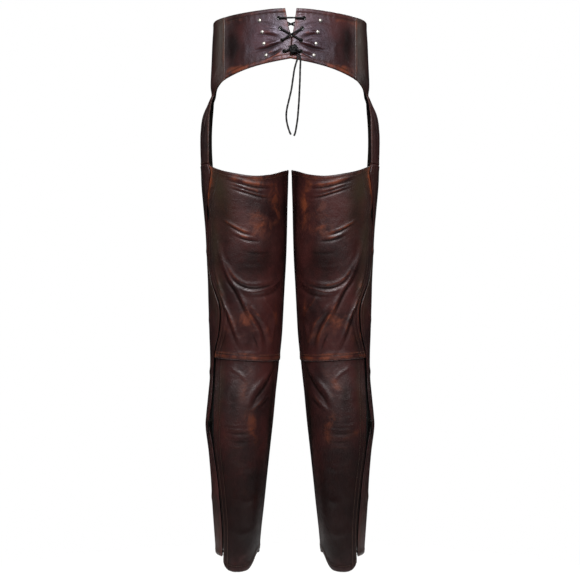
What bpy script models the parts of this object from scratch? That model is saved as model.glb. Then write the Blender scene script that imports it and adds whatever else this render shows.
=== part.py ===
"""Leather chaps, held open in their worn form, seen by the wearer: +Y front, +X right, +Z up.

The origin is the middle of the waist opening at the height of the belt. Lengths are metres and
angles are degrees. Round a leg or the hips an angle of 0 is the outer side, 90 the back,
180 the inner side and -90 (or 270) the front, on both legs.
"""

import math
from collections import namedtuple

import bmesh
import bpy
import numpy as np
from mathutils import Matrix, Vector

# Thicknesses and clearances
LEATHER = 0.0014
BELT = 0.0030
TAPE = 0.0008
SEAM = 0.0003
LAID_ON = 0.0005
TAPE_CLEAR = 0.0014

# Waist and hips: horizontal sections, half an ellipse round each side. rear_x and front_x are
# where the back and front edges of the hip side cut that section.
Hip = namedtuple("Hip", "z centre_x half_width depth rear_x front_x")
HIPS = [
    Hip(0.024, 0.000, 0.1480, 0.105, 0.1245, 0.0780),
    Hip(-0.024, 0.000, 0.1510, 0.109, 0.1245, 0.0780),
    Hip(-0.050, 0.000, 0.1520, 0.111, 0.1245, 0.0930),
    Hip(-0.071, 0.000, 0.1530, 0.112, 0.1245, 0.1240),
    Hip(-0.088, 0.000, 0.1538, 0.113, 0.1245, 0.1380),
    Hip(-0.095, 0.000, 0.1540, 0.113, 0.1250, 0.1420),
    Hip(-0.100, 0.000, 0.1539, 0.113, 0.1330, 0.1440),
    Hip(-0.106, 0.000, 0.1534, 0.113, 0.1390, 0.1452),
    Hip(-0.112, 0.000, 0.1524, 0.112, 0.1420, 0.1458),
    Hip(-0.117, 0.002, 0.1522, 0.112, 0.1455, 0.1465),
    Hip(-0.124, 0.008, 0.1552, 0.111, 0.1490, 0.1490),
    Hip(-0.133, 0.020, 0.1590, 0.109, 0.1512, 0.1503),
    Hip(-0.155, 0.042, 0.1678, 0.105, 0.1540, 0.1530),
    Hip(-0.190, 0.066, 0.1723, 0.101, 0.1550, 0.1550),
    Hip(-0.222, 0.080, 0.1729, 0.098, 0.1550, 0.1548),
    Hip(-0.252, 0.088, 0.1730, 0.095, 0.1550, 0.1532),
]

# Legs: horizontal sections, each an ellipse, that follow a thigh, a knee set forward and a calf
Leg = namedtuple("Leg", "z centre_x half_x half_y centre_y")
LEGS = [
    Leg(-0.252, 0.0882, 0.0848, 0.095, 0.0000),
    Leg(-0.290, 0.0879, 0.0839, 0.093, 0.0010),
    Leg(-0.330, 0.0868, 0.0816, 0.091, 0.0020),
    Leg(-0.373, 0.0853, 0.0793, 0.089, 0.0030),
    Leg(-0.443, 0.0847, 0.0764, 0.086, 0.0050),
    Leg(-0.480, 0.0850, 0.0745, 0.083, 0.0065),
    Leg(-0.510, 0.0855, 0.0734, 0.081, 0.0080),
    Leg(-0.536, 0.0858, 0.0724, 0.079, 0.0090),
    Leg(-0.582, 0.0865, 0.0704, 0.076, 0.0110),
    Leg(-0.620, 0.0878, 0.0679, 0.074, 0.0120),
    Leg(-0.660, 0.0900, 0.0660, 0.073, 0.0100),
    Leg(-0.705, 0.0945, 0.0654, 0.072, 0.0060),
    Leg(-0.745, 0.0981, 0.0651, 0.071, 0.0030),
    Leg(-0.792, 0.0986, 0.0604, 0.069, 0.0010),
    Leg(-0.862, 0.0995, 0.0537, 0.067, 0.0010),
    Leg(-0.908, 0.1007, 0.0501, 0.066, 0.0020),
    Leg(-0.955, 0.1017, 0.0458, 0.066, 0.0030),
    Leg(-1.030, 0.1020, 0.0400, 0.066, 0.0040),
]

# The line of the side zip round each leg
Zip = namedtuple("Zip", "z angle")
ZIP_LINE = [
    Zip(-0.252, 37.0),
    Zip(-0.272, 41.0),
    Zip(-0.290, 38.0),
    Zip(-0.330, 28.0),
    Zip(-0.360, 23.0),
    Zip(-0.390, 21.2),
    Zip(-0.420, 20.0),
    Zip(-0.450, 20.0),
    Zip(-0.480, 29.0),
    Zip(-0.500, 39.0),
    Zip(-0.518, 46.0),
    Zip(-0.560, 47.0),
    Zip(-0.585, 42.0),
    Zip(-0.605, 34.0),
    Zip(-0.655, 27.0),
    Zip(-0.690, 29.5),
    Zip(-0.745, 31.5),
    Zip(-0.770, 32.0),
    Zip(-0.810, 37.0),
    Zip(-0.850, 43.0),
    Zip(-0.885, 47.0),
    Zip(-0.940, 52.0),
    Zip(-1.030, 48.5),
]
ZIP_GAP = 0.0030
SLIDER_Z = -0.745
SLIDER_ROOM = 0.0095
SLIDER_REACH = 0.024
TAPE_WIDTH = 0.013
TAPE_TOP = -0.266
TAPE_BOTTOM = -1.000
TAPE_PARTED = 0.0010
SLIDER_LENGTH = 0.0110
SLIDER_HALF_WIDTH = 0.0045
SLIDER_FLOOR = -0.0006
CHEEK_HALF_GAP = 0.0031
CHEEK_TOP = 0.0042

# Back yoke: its edges by distance from centre back, and the laced centre edges by height
YokeEdge = namedtuple("YokeEdge", "x top bottom")
YOKE_EDGES = [
    YokeEdge(0.000, 0.0350, -0.0595),
    YokeEdge(0.025, 0.0342, -0.0640),
    YokeEdge(0.055, 0.0320, -0.0700),
    YokeEdge(0.086, 0.0295, -0.0795),
    YokeEdge(0.110, 0.0275, -0.0883),
    YokeEdge(0.1245, 0.0260, -0.0945),
]
CentreEdge = namedtuple("CentreEdge", "z left_x right_x")
CENTRE_EDGES = [
    CentreEdge(-0.0600, 0.0007, 0.0015),
    CentreEdge(-0.0400, 0.0018, 0.0026),
    CentreEdge(-0.0240, 0.0029, 0.0037),
    CentreEdge(-0.0160, 0.0024, 0.0044),
    CentreEdge(-0.0050, -0.0014, 0.0065),
    CentreEdge(0.0070, -0.0042, 0.0084),
    CentreEdge(0.0200, -0.0062, 0.0100),
    CentreEdge(0.0350, -0.0090, 0.0122),
]
SIDE_TOP = 0.0235
FRONT_TOP = 0.0190

# Leg panels
INNER_SEAM = 180.0
ZIP_SIDE = 37.0
LEG_TOP = -0.2600
SEAM_LEVEL = -0.3000
KNEE_SEAM = -0.6195
KNEE_LAP = 0.0070
TUCK_ABOVE = 0.018
TUCK_BELOW = 0.050
HEM_LEVEL = -1.0060
FRONT_HEM = -1.0020
ROW_CLEAR = 0.007
Edge = namedtuple("Edge", "angle z")
BACK_TOP = [
    Edge(36.0, -0.2556),
    Edge(52.0, -0.2650),
    Edge(76.0, -0.2733),
    Edge(102.0, -0.2777),
    Edge(124.0, -0.2744),
    Edge(150.0, -0.2660),
    Edge(180.0, -0.2600),
]
HEM_EDGE = [
    Edge(51.0, -1.0130),
    Edge(57.7, -1.0214),
    Edge(64.0, -1.0252),
    Edge(76.0, -1.0282),
    Edge(92.0, -1.0290),
    Edge(110.0, -1.0284),
    Edge(125.5, -1.0252),
    Edge(132.0, -1.0214),
    Edge(140.0, -1.0138),
    Edge(146.0, -1.0062),
    Edge(156.0, -0.9990),
    Edge(180.0, -0.9950),
]
FRONT_TOP_EDGE = [
    Edge(180.0, -0.2600),
    Edge(225.0, -0.2680),
    Edge(262.0, -0.2700),
    Edge(296.0, -0.2650),
    Edge(312.0, -0.2580),
    Edge(322.0, -0.2534),
    Edge(335.0, -0.2528),
    Edge(360.0, -0.2528),
    Edge(400.0, -0.2528),
]

BACK_COLUMNS = [0.0, 0.03, 0.09, 0.18, 0.27, 0.36, 0.45, 0.54, 0.63, 0.72, 0.81, 0.90, 0.97, 1.0]

# The largest folds across the back of each thigh: ridges that run from start to end and sag
Fold = namedtuple("Fold", "start_angle start_z end_angle end_z sag half_width height")
FOLDS = [
    Fold(55.0, -0.290, 120.0, -0.300, 0.006, 0.008, 0.0020),
    Fold(40.0, -0.415, 135.0, -0.462, 0.030, 0.010, 0.0035),
    Fold(62.0, -0.478, 92.0, -0.600, 0.004, 0.010, 0.0035),
    Fold(48.0, -0.500, 72.0, -0.600, 0.004, 0.009, 0.0025),
]

# Lacing: eyelets and studs on each half, from the top down
Fixing = namedtuple("Fixing", "eyelet_left eyelet_right eyelet_z stud_x stud_z")
FIXINGS = [
    Fixing(-0.0209, 0.0262, 0.0160, 0.0570, 0.0125),
    Fixing(-0.0180, 0.0228, -0.0035, 0.0522, -0.0095),
    Fixing(-0.0145, 0.0207, -0.0262, 0.0490, -0.0318),
    Fixing(-0.0105, 0.0200, -0.0470, 0.0448, -0.0540),
]
LACE_RADIUS = 0.0018
EYELET_BORE = 0.0024
EYELET_RADIUS = 0.0040
EYELET_RIM = 0.0007
EYELET_HOLE = 0.0033
STUD_RADIUS = 0.0034
STUD_HEIGHT = 0.0018
LACE_RUN = 0.0044
LACE_TURN = 0.0008
LACE_CROSSED = 0.0043
LEAD_IN = 0.0095

# The knot, and the routes of its two tails, which hang just outside the yoke's lower edge
KNOT_X = 0.0064
KNOT_Z = -0.0440
KNOT_HALF_WIDTH = 0.0085
KNOT_HALF_HEIGHT = 0.0095
KNOT_HALF_DEPTH = 0.0055
TAIL_LEFT = [
    (0.0118, -0.1192, -0.0545),
    (0.0150, -0.1202, -0.0600),
    (0.0129, -0.1206, -0.0655),
    (0.0084, -0.1204, -0.0811),
    (0.0058, -0.1202, -0.0979),
    (0.0024, -0.1200, -0.1203),
    (-0.0028, -0.1198, -0.1426),
    (-0.0054, -0.1197, -0.1538),
    (-0.0069, -0.1196, -0.1650),
    (-0.0065, -0.1195, -0.1762),
    (-0.0043, -0.1194, -0.1873),
    (-0.0007, -0.1193, -0.1985),
    (0.0019, -0.1192, -0.2036),
]
TAIL_RIGHT = [
    (0.0163, -0.1180, -0.0520),
    (0.0190, -0.1185, -0.0585),
    (0.0195, -0.1186, -0.0680),
    (0.0189, -0.1186, -0.0830),
    (0.0186, -0.1186, -0.0979),
    (0.0177, -0.1186, -0.1203),
    (0.0166, -0.1186, -0.1426),
    (0.0149, -0.1186, -0.1650),
    (0.0138, -0.1186, -0.1762),
    (0.0121, -0.1186, -0.1873),
    (0.0101, -0.1186, -0.1985),
    (0.0075, -0.1186, -0.2060),
]

# Front belt and buckle. out is how far a strap's inner face, or the prong's middle, stands off the
# waist surface at x from the middle. The tip strap lies over the buckle strap past the heel bar.
BELT_LEVEL = 0.0010
BELT_OVER = BELT_LEVEL + BELT + 2 * SEAM
BELT_TOP = 0.0180
BELT_BOTTOM = -0.0220
BELT_MIDDLE = (BELT_TOP + BELT_BOTTOM) / 2
FRAME_RADIUS = 0.0021
FRAME_HALF_WIDTH = 0.0190
FRAME_HALF_HEIGHT = 0.0235
HEEL_OUT = FRAME_RADIUS + SEAM
FAR_OUT = BELT_OVER + FRAME_RADIUS
PRONG_RADIUS = 0.0015
KEEPER_X = -0.0520
KEEPER_WIDTH = 0.0100
KEEPER_WALL = 0.0016
Station = namedtuple("Station", "x out")
BUCKLE_STRAP = [
    Station(-0.1000, BELT_LEVEL),
    Station(-0.0850, BELT_LEVEL),
    Station(-0.0650, BELT_LEVEL),
    Station(-0.0450, BELT_LEVEL),
    Station(-FRAME_HALF_WIDTH - FRAME_RADIUS - SEAM, BELT_LEVEL),
]
TIP_STRAP = [
    Station(0.1000, BELT_LEVEL),
    Station(0.0850, BELT_LEVEL),
    Station(0.0650, BELT_LEVEL),
    Station(0.0450, BELT_LEVEL),
    Station(0.0260, BELT_LEVEL),
    Station(0.0140, 0.0015),
    Station(0.0010, 0.0036),
    Station(-0.0110, 0.0052),
    Station(-0.0230, 0.0052),
    Station(-0.0350, BELT_OVER),
    Station(-0.0480, BELT_OVER),
    Station(-0.0620, BELT_OVER),
    Station(-0.0760, BELT_OVER),
]
PRONG = [
    Station(-FRAME_HALF_WIDTH + FRAME_RADIUS + PRONG_RADIUS + SEAM, HEEL_OUT),
    Station(-0.0100, 0.0040),
    Station(-0.0040, 0.0078),
    Station(0.0050, 0.0098),
    Station(FRAME_HALF_WIDTH, FAR_OUT + FRAME_RADIUS + PRONG_RADIUS + SEAM),
    Station(0.0235, 0.0094),
]
PRONG_HOLE_X = -0.0055
PRONG_HOLE_OUT = 0.0050
PRONG_HOLE_SIZE = (0.0150, 0.0200, 0.0064)
# The corners of the buckle frame, as shares of its half width and half height
CORNER = ((1.0, 0.82), (0.93, 0.93), (0.75, 1.0))

# Zip pull
PULL_LENGTH = 0.0240
PULL_WIDTH = 0.0042
PULL_THICK = 0.0014
PULL_BARREL = 0.0010
PULL_END = 0.0010
PULL_BEVEL = 0.0003
HINGE_OUT = 0.0030

SIDES = (("left", -1.0), ("right", 1.0))


def column(table, name, at, key="z"):
    """The named column of a table at one height, on a smooth curve through its rows."""
    rows = sorted(table, key=lambda row: getattr(row, key))
    xs = np.array([getattr(row, key) for row in rows])
    ys = np.array([getattr(row, name) for row in rows])
    at = min(max(at, xs[0]), xs[-1])
    i = int(min(max(np.searchsorted(xs, at) - 1, 0), len(xs) - 2))
    slopes = np.gradient(ys, xs)
    step = xs[i + 1] - xs[i]
    t = (at - xs[i]) / step
    start = (1 + 2 * t) * (1 - t) ** 2 * ys[i] + t * (1 - t) ** 2 * step * slopes[i]
    end = t * t * (3 - 2 * t) * ys[i + 1] + t * t * (t - 1) * step * slopes[i + 1]
    return float(start + end)


def material(name, colour, roughness, metallic=0.0):
    made = bpy.data.materials.new(name)
    made.use_nodes = True
    made.diffuse_color = (*colour, 1.0)
    shader = made.node_tree.nodes["Principled BSDF"]
    shader.inputs["Base Color"].default_value = (*colour, 1.0)
    shader.inputs["Roughness"].default_value = roughness
    shader.inputs["Metallic"].default_value = metallic
    return made


def add(name, bm, finish, smooth=True):
    """A new object from a bmesh, its faces turned outwards."""
    bmesh.ops.recalc_face_normals(bm, faces=bm.faces[:])
    if bm.calc_volume(signed=True) < 0:
        bmesh.ops.reverse_faces(bm, faces=bm.faces[:])
    mesh = bpy.data.meshes.new(name)
    bm.to_mesh(mesh)
    bm.free()
    if smooth:
        mesh.shade_smooth()
        mesh.set_sharp_from_angle(angle=math.radians(40))
    made = bpy.data.objects.new(name, mesh)
    made.data.materials.append(finish)
    bpy.context.scene.collection.objects.link(made)
    return made


def wall(name, point, across, down, thickness, finish):
    """A closed wall. point(u, v, out) is the surface, u across, v down, out towards the outside."""
    bm = bmesh.new()
    faces_of = []
    for out in (0.0, -thickness):
        faces_of.append([[bm.verts.new(point(u, v, out)) for u in across] for v in down])
    outer, inner = faces_of
    last_row = len(down) - 1
    last = len(across) - 1
    for r in range(last_row):
        for c in range(last):
            for grid in faces_of:
                bm.faces.new((grid[r][c], grid[r][c + 1], grid[r + 1][c + 1], grid[r + 1][c]))
    for r in range(last_row):
        for c in (0, last):
            bm.faces.new((outer[r][c], outer[r + 1][c], inner[r + 1][c], inner[r][c]))
    for c in range(last):
        for r in (0, last_row):
            bm.faces.new((outer[r][c], outer[r][c + 1], inner[r][c + 1], inner[r][c]))
    return add(name, bm, finish)


def turned(name, profile, place, finish, steps):
    """A ring or dome: profile is (radius, height) pairs round the section, turned about place's z."""
    bm = bmesh.new()
    closed = profile[0][0] > 0
    rings = []
    for radius, height in profile:
        if radius == 0:
            rings.append([bm.verts.new((0, 0, height))])
            continue
        turns = [math.tau * k / steps for k in range(steps)]
        rings.append([bm.verts.new((radius * math.cos(t), radius * math.sin(t), height)) for t in turns])
    pairs = list(zip(rings, rings[1:]))
    if closed:
        pairs.append((rings[-1], rings[0]))
    for low, high in pairs:
        for k in range(steps):
            near, far = k, (k + 1) % steps
            quad = [low[near % len(low)], low[far % len(low)], high[far % len(high)], high[near % len(high)]]
            bm.faces.new(list(dict.fromkeys(quad)))
    if not closed:
        bm.faces.new(rings[-1])
    bm.transform(place)
    return add(name, bm, finish)


def prism(name, outline, depth, place, finish):
    """An outline in its own x and y, extruded along its z, half the depth to each side."""
    bm = bmesh.new()
    base = bm.faces.new([bm.verts.new((x, y, -depth / 2)) for x, y in outline])
    grown = bmesh.ops.extrude_face_region(bm, geom=[base])
    top = [v for v in grown["geom"] if isinstance(v, bmesh.types.BMVert)]
    bmesh.ops.translate(bm, verts=top, vec=(0, 0, depth))
    bm.transform(place)
    return add(name, bm, finish, smooth=False)


def tube(name, points, radius, finish, closed=False):
    """A round cord or bar along a poly spline, with filled ends."""
    data = bpy.data.curves.new(name, "CURVE")
    data.dimensions = "3D"
    data.bevel_depth = radius
    data.bevel_resolution = 2
    data.use_fill_caps = not closed
    spline = data.splines.new("POLY")
    spline.points.add(len(points) - 1)
    spline.points.foreach_set("co", [n for p in points for n in (*p, 1.0)])
    spline.use_cyclic_u = closed
    spline.use_smooth = True
    data.materials.append(finish)
    made = bpy.data.objects.new(name, data)
    bpy.context.scene.collection.objects.link(made)
    return made


def smooth_route(points, count):
    """count points on the smooth curve through a route's own points, evenly spaced along it."""
    route = np.array(points)
    ahead = 2 * route[0] - route[1]
    behind = 2 * route[-1] - route[-2]
    padded = np.vstack([ahead, route, behind])
    fine = []
    for a, b, c, d in zip(padded, padded[1:], padded[2:], padded[3:]):
        for t in np.linspace(0, 1, 16, endpoint=False):
            bend = 2 * a - 5 * b + 4 * c - d
            fine.append(0.5 * (2 * b + (c - a) * t + bend * t**2 + (3 * b - a - 3 * c + d) * t**3))
    fine.append(route[-1])
    fine = np.array(fine)
    along = np.concatenate([[0.0], np.cumsum(np.linalg.norm(np.diff(fine, axis=0), axis=1))])
    wanted = np.linspace(0.0, along[-1], count)
    return [tuple(np.interp(w, along, fine[:, k]) for k in range(3)) for w in wanted]


def hip_point(side, angle, z, out):
    """A point on the waist and hip surface."""
    centre = column(HIPS, "centre_x", z)
    half = column(HIPS, "half_width", z) - centre + out
    depth = column(HIPS, "depth", z) + out
    turn = math.radians(angle)
    return (side * (centre + half * math.cos(turn)), -depth * math.sin(turn), z)


def hip_angle(x, z):
    """The angle at which the hip surface is x from the middle, 0 to 180."""
    centre = column(HIPS, "centre_x", z)
    half = column(HIPS, "half_width", z) - centre
    return math.degrees(math.acos(min(max((x - centre) / half, -1.0), 1.0)))


def back_point(x, z, out):
    """A point behind the waist at x, either side of the middle."""
    return hip_point(1.0, hip_angle(x, z), z, out)


def front_point(x, z, out):
    """A point before the waist at x, either side of the middle."""
    return hip_point(1.0, -hip_angle(x, z), z, out)


def frame_at(point_of, u, v, step=0.002):
    """The surface's own frame at (u, v): origin, along u, along v and outwards, as a matrix."""
    here = Vector(point_of(u, v, 0.0))
    along = (Vector(point_of(u + step, v, 0.0)) - Vector(point_of(u - step, v, 0.0))).normalized()
    outward = (Vector(point_of(u, v, step)) - here).normalized()
    up = outward.cross(along).normalized()
    along = up.cross(outward)
    made = Matrix((along, up, outward)).transposed().to_4x4()
    made.translation = here
    return made


def fold_out(angle, z):
    """How far the largest folds lift the leather at a place on the back of a thigh."""
    radius = column(LEGS, "half_y", z)
    lift = 0.0
    for fold in FOLDS:
        start = np.array([math.radians(fold.start_angle) * radius, fold.start_z])
        end = np.array([math.radians(fold.end_angle) * radius, fold.end_z])
        here = np.array([math.radians(angle) * radius, z])
        run = end - start
        t = float(np.dot(here - start, run) / np.dot(run, run))
        t_in = min(max(t, 0.0), 1.0)
        middle = start + run * t_in + np.array([0.0, -4 * fold.sag * t_in * (1 - t_in)])
        away = float(np.linalg.norm(here - middle))
        fade = math.sin(math.pi * min(max(t_in, 0.02), 0.98)) ** 0.5
        lift += fold.height * fade * math.exp(-((away / fold.half_width) ** 2))
    return lift


def leg_point(side, angle, z, out):
    """A point on the leg surface."""
    half_x = column(LEGS, "half_x", z) + out
    half_y = column(LEGS, "half_y", z) + out
    turn = math.radians(angle)
    x = column(LEGS, "centre_x", z) + half_x * math.cos(turn)
    y = column(LEGS, "centre_y", z) - half_y * math.sin(turn)
    return (side * x, y, z)


def degrees_of(length, angle, z):
    """The angle that a length along the leg's section takes up."""
    turn = math.radians(angle)
    half_x = column(LEGS, "half_x", z)
    half_y = column(LEGS, "half_y", z)
    radius = math.hypot(half_x * math.sin(turn), half_y * math.cos(turn))
    return math.degrees(length / radius)


def zip_angle(z):
    return column(ZIP_LINE, "angle", z)


def zip_edge(z, way):
    """The angle of the leather's edge beside the zip: way is 1 behind it and -1 before it."""
    room = ZIP_GAP + SLIDER_ROOM * math.exp(-(((z - SLIDER_Z) / SLIDER_REACH) ** 2))
    middle = zip_angle(z)
    return middle + way * degrees_of(room / 2, middle, z)


def knee_tuck(z):
    """How far the calf panel, and the zip beside it, lie in to pass under the thigh panel."""
    below = max(0.0, (KNEE_SEAM - KNEE_LAP - z) / TUCK_BELOW)
    above = max(0.0, (z - KNEE_SEAM - KNEE_LAP) / TUCK_ABOVE)
    return (LEATHER + 4 * SEAM) * math.exp(-(below**2) - above**2)


def spaced(first, last, count):
    return list(np.linspace(first, last, count))


def rows_between(bottom, top):
    """The heights, from the top down, at which every piece of a leg has a row of points."""
    heights = {row.z for row in ZIP_LINE} | {KNEE_SEAM + KNEE_LAP, KNEE_SEAM - KNEE_LAP}
    return sorted((z for z in heights if bottom < z < top), reverse=True)


def levels(top, bottom):
    """Fractions of the way down from top to bottom: the two ends and each row between."""
    inside = rows_between(bottom + ROW_CLEAR, top - ROW_CLEAR)
    return [0.0, *[(top - z) / (top - bottom) for z in inside], 1.0]


def make_hip_side(side_name, side, finish):
    """From the side seam round the hip to the belt, narrowing to the strap that carries the leg."""
    rows = sorted(HIPS, key=lambda row: -row.z)

    def point(u, v, out):
        z = rows[v].z
        rear = hip_angle(rows[v].rear_x, z)
        front = -hip_angle(rows[v].front_x, z)
        angle = rear + (front - rear) * u
        if v == 0:
            high = YOKE_EDGES[-1].top if angle > 0 else FRONT_TOP
            reach = abs(angle / (rear if angle > 0 else front))
            z = SIDE_TOP + (high - SIDE_TOP) * reach
        return hip_point(side, angle, z, out)

    across = spaced(0.0, 1.0, 9)
    return wall("hip_side_" + side_name, point, across, range(len(rows)), LEATHER, finish)


def yoke_x(side, u, z):
    """Across a yoke half at one height, from its laced edge to the side seam."""
    name = "right_x" if side > 0 else "left_x"
    centre = column(CENTRE_EDGES, name, z)
    seam = side * (YOKE_EDGES[-1].x - SEAM)
    return centre + (seam - centre) * u


def make_yoke(side_name, side, finish):
    """Half of the back yoke, pierced for its four eyelets."""

    def point(u, v, out):
        top = column(YOKE_EDGES, "top", u * YOKE_EDGES[-1].x, key="x")
        bottom = column(YOKE_EDGES, "bottom", u * YOKE_EDGES[-1].x, key="x")
        z = top + (bottom - top) * v
        return back_point(yoke_x(side, u, z), z, out)

    yoke = wall("back_yoke_" + side_name, point, spaced(0, 1, 11), spaced(0, 1, 8), LEATHER, finish)
    for place in eyelet_places(side):
        bpy.ops.mesh.primitive_cylinder_add(vertices=12, radius=EYELET_HOLE, depth=0.02)
        cutter = bpy.context.object
        cutter.matrix_world = place
        cutter.hide_render = True
        cutter.display_type = "WIRE"
        hole = yoke.modifiers.new("eyelet", "BOOLEAN")
        hole.operation = "DIFFERENCE"
        hole.solver = "EXACT"
        hole.object = cutter
    return yoke


def eyelet_places(side):
    """The frames of one half's eyelets: z is outwards from the leather."""
    name = "eyelet_right" if side > 0 else "eyelet_left"
    return [frame_at(back_point, getattr(row, name), row.eyelet_z) for row in FIXINGS]


def make_fixings(side_name, side, nickel, steel):
    """The eyelets, which line the holes, and the domed studs beside them."""
    eyelet = [
        (EYELET_BORE, -LEATHER - SEAM),
        (EYELET_HOLE - SEAM, -LEATHER - SEAM),
        (EYELET_HOLE - SEAM, LAID_ON),
        (EYELET_RADIUS, LAID_ON),
        (EYELET_RADIUS - 0.0004, LAID_ON + EYELET_RIM),
        (EYELET_BORE, LAID_ON + EYELET_RIM),
    ]
    for number, place in enumerate(eyelet_places(side), 1):
        turned(f"eyelet_{side_name}_{number}", eyelet, place, steel, 12)
    dome = [(0.0, STUD_HEIGHT + LAID_ON), (0.6 * STUD_RADIUS, 0.8 * STUD_HEIGHT + LAID_ON)]
    dome += [(STUD_RADIUS, 0.25 * STUD_HEIGHT + LAID_ON), (STUD_RADIUS, LAID_ON)]
    for number, row in enumerate(FIXINGS, 1):
        place = frame_at(back_point, side * row.stud_x, row.stud_z)
        turned(f"stud_{side_name}_{number}", dome, place, nickel, 12)


def make_front_leg(side_name, side, finish):
    """One panel from the inner seam round the front and the outer side to the zip."""
    bottom = FRONT_HEM

    def point(u, v, out):
        first = INNER_SEAM + degrees_of(SEAM, INNER_SEAM, SEAM_LEVEL)
        nominal = first + (360.0 + zip_angle(LEG_TOP) - first) * u
        top = column(FRONT_TOP_EDGE, "z", nominal, key="angle")
        z = top + (bottom - top) * v
        last = 360.0 + zip_edge(z, -1)
        return leg_point(side, first + (last - first) * u, z, out)

    across = [0.0, *spaced(0.06, 0.94, 13), 1.0]
    down = levels(FRONT_TOP_EDGE[0].z, bottom)
    return wall("front_leg_" + side_name, point, across, down, LEATHER, finish)


def back_panel_point(side, top_of, bottom_of, tuck_of):
    """The surface of a panel between the zip and the inner seam."""
    last = INNER_SEAM - degrees_of(SEAM / 2, INNER_SEAM, SEAM_LEVEL)

    def point(u, v, out):
        nominal = ZIP_SIDE + (last - ZIP_SIDE) * u
        z = top_of(nominal) + (bottom_of(u) - top_of(nominal)) * v
        first = zip_edge(z, 1)
        angle = first + (last - first) * u
        return leg_point(side, angle, z, out + fold_out(angle, z) - tuck_of(z))

    return point


def make_back_thigh(side_name, side, finish):
    """Scooped at the top, and lapped over the calf panel at the knee."""
    bottom = KNEE_SEAM - KNEE_LAP
    point = back_panel_point(
        side,
        lambda angle: column(BACK_TOP, "z", angle, key="angle"),
        lambda u: bottom,
        lambda z: 0.0,
    )
    down = levels(BACK_TOP[-1].z, bottom)
    return wall("back_thigh_" + side_name, point, BACK_COLUMNS, down, LEATHER, finish)


def make_back_calf(side_name, side, finish):
    """Tucked under the thigh panel at the knee, with a hem that drops at the heel."""
    top = KNEE_SEAM + KNEE_LAP

    def hem(u):
        first = HEM_EDGE[0].angle
        return column(HEM_EDGE, "z", first + (INNER_SEAM - first) * u, key="angle")

    point = back_panel_point(side, lambda angle: top, hem, knee_tuck)
    down = levels(top, HEM_LEVEL)
    return wall("back_calf_" + side_name, point, BACK_COLUMNS, down, LEATHER, finish)


def make_zip(side_name, side, cotton, steel):
    """Two tapes behind the gap, joined above the slider and parted below it, and the slider."""
    down = [TAPE_TOP, *rows_between(TAPE_BOTTOM, TAPE_TOP), TAPE_BOTTOM]
    for place, way in (("front", -1), ("back", 1)):

        def point(u, v, out, way=way):
            z = down[v]
            middle = zip_angle(z)
            parted = SEAM / 2 if z > SLIDER_Z else TAPE_PARTED
            away = parted + TAPE_WIDTH * u
            sunk = out - LEATHER - TAPE_CLEAR - knee_tuck(z)
            return leg_point(side, middle + way * degrees_of(away, middle, z), z, sunk)

        wall(f"zip_tape_{place}_{side_name}", point, [0.0, 0.5, 1.0], range(len(down)), TAPE, cotton)
    place = slider_frame(side)
    low = -LEATHER - TAPE_CLEAR + SEAM
    half = [(SLIDER_HALF_WIDTH, low), (SLIDER_HALF_WIDTH, CHEEK_TOP)]
    half += [(CHEEK_HALF_GAP, CHEEK_TOP), (CHEEK_HALF_GAP, SLIDER_FLOOR)]
    channel = half + [(-x, out) for x, out in half[::-1]]
    upright = place @ Matrix.Rotation(math.pi / 2, 4, "X")
    prism("zip_slider_" + side_name, channel, SLIDER_LENGTH, upright, steel)


def slider_frame(side):
    """The slider's frame: x round the leg, y up the zip as near as upright, z outwards."""
    angle = zip_angle(SLIDER_Z)
    here = Vector(leg_point(side, angle, SLIDER_Z, 0.0))
    outward = Vector(leg_point(side, angle, SLIDER_Z, 0.01)) - here
    outward = Vector((outward.x, outward.y, 0.0)).normalized()
    up = Vector((0, 0, 1))
    made = Matrix((up.cross(outward), up, outward)).transposed().to_4x4()
    made.translation = here
    return made


def make_pull(side_name, side, steel):
    """A flat tab hung in the slider's channel: its hinge runs round the leg."""
    steps = [math.radians(a) for a in range(-45, 226, 30)]
    outline = [(PULL_BARREL * math.cos(a), PULL_BARREL * math.sin(a)) for a in steps]
    half = PULL_THICK / 2
    outline += [(-half, -PULL_LENGTH + PULL_END), (-half + PULL_BEVEL, -PULL_LENGTH)]
    outline += [(half - PULL_BEVEL, -PULL_LENGTH), (half, -PULL_LENGTH + PULL_END)]
    place = slider_frame(side) @ Matrix.Translation((0, 0, HINGE_OUT))
    turn = Matrix(((0, 0, -1, 0), (0, 1, 0, 0), (1, 0, 0, 0), (0, 0, 0, 1)))
    made = prism("zip_pull_" + side_name, outline, PULL_WIDTH, turn, steel)
    made.matrix_world = place
    return made


def belt_wall(name, stations, finish):
    """A strap before the waist through its stations, its ends left square."""

    def point(u, v, out):
        z = BELT_TOP + (BELT_BOTTOM - BELT_TOP) * v
        return front_point(stations[u].x, z, stations[u].out + BELT + out)

    return wall(name, point, range(len(stations)), [0.0, 0.5, 1.0], BELT, finish)


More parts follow.
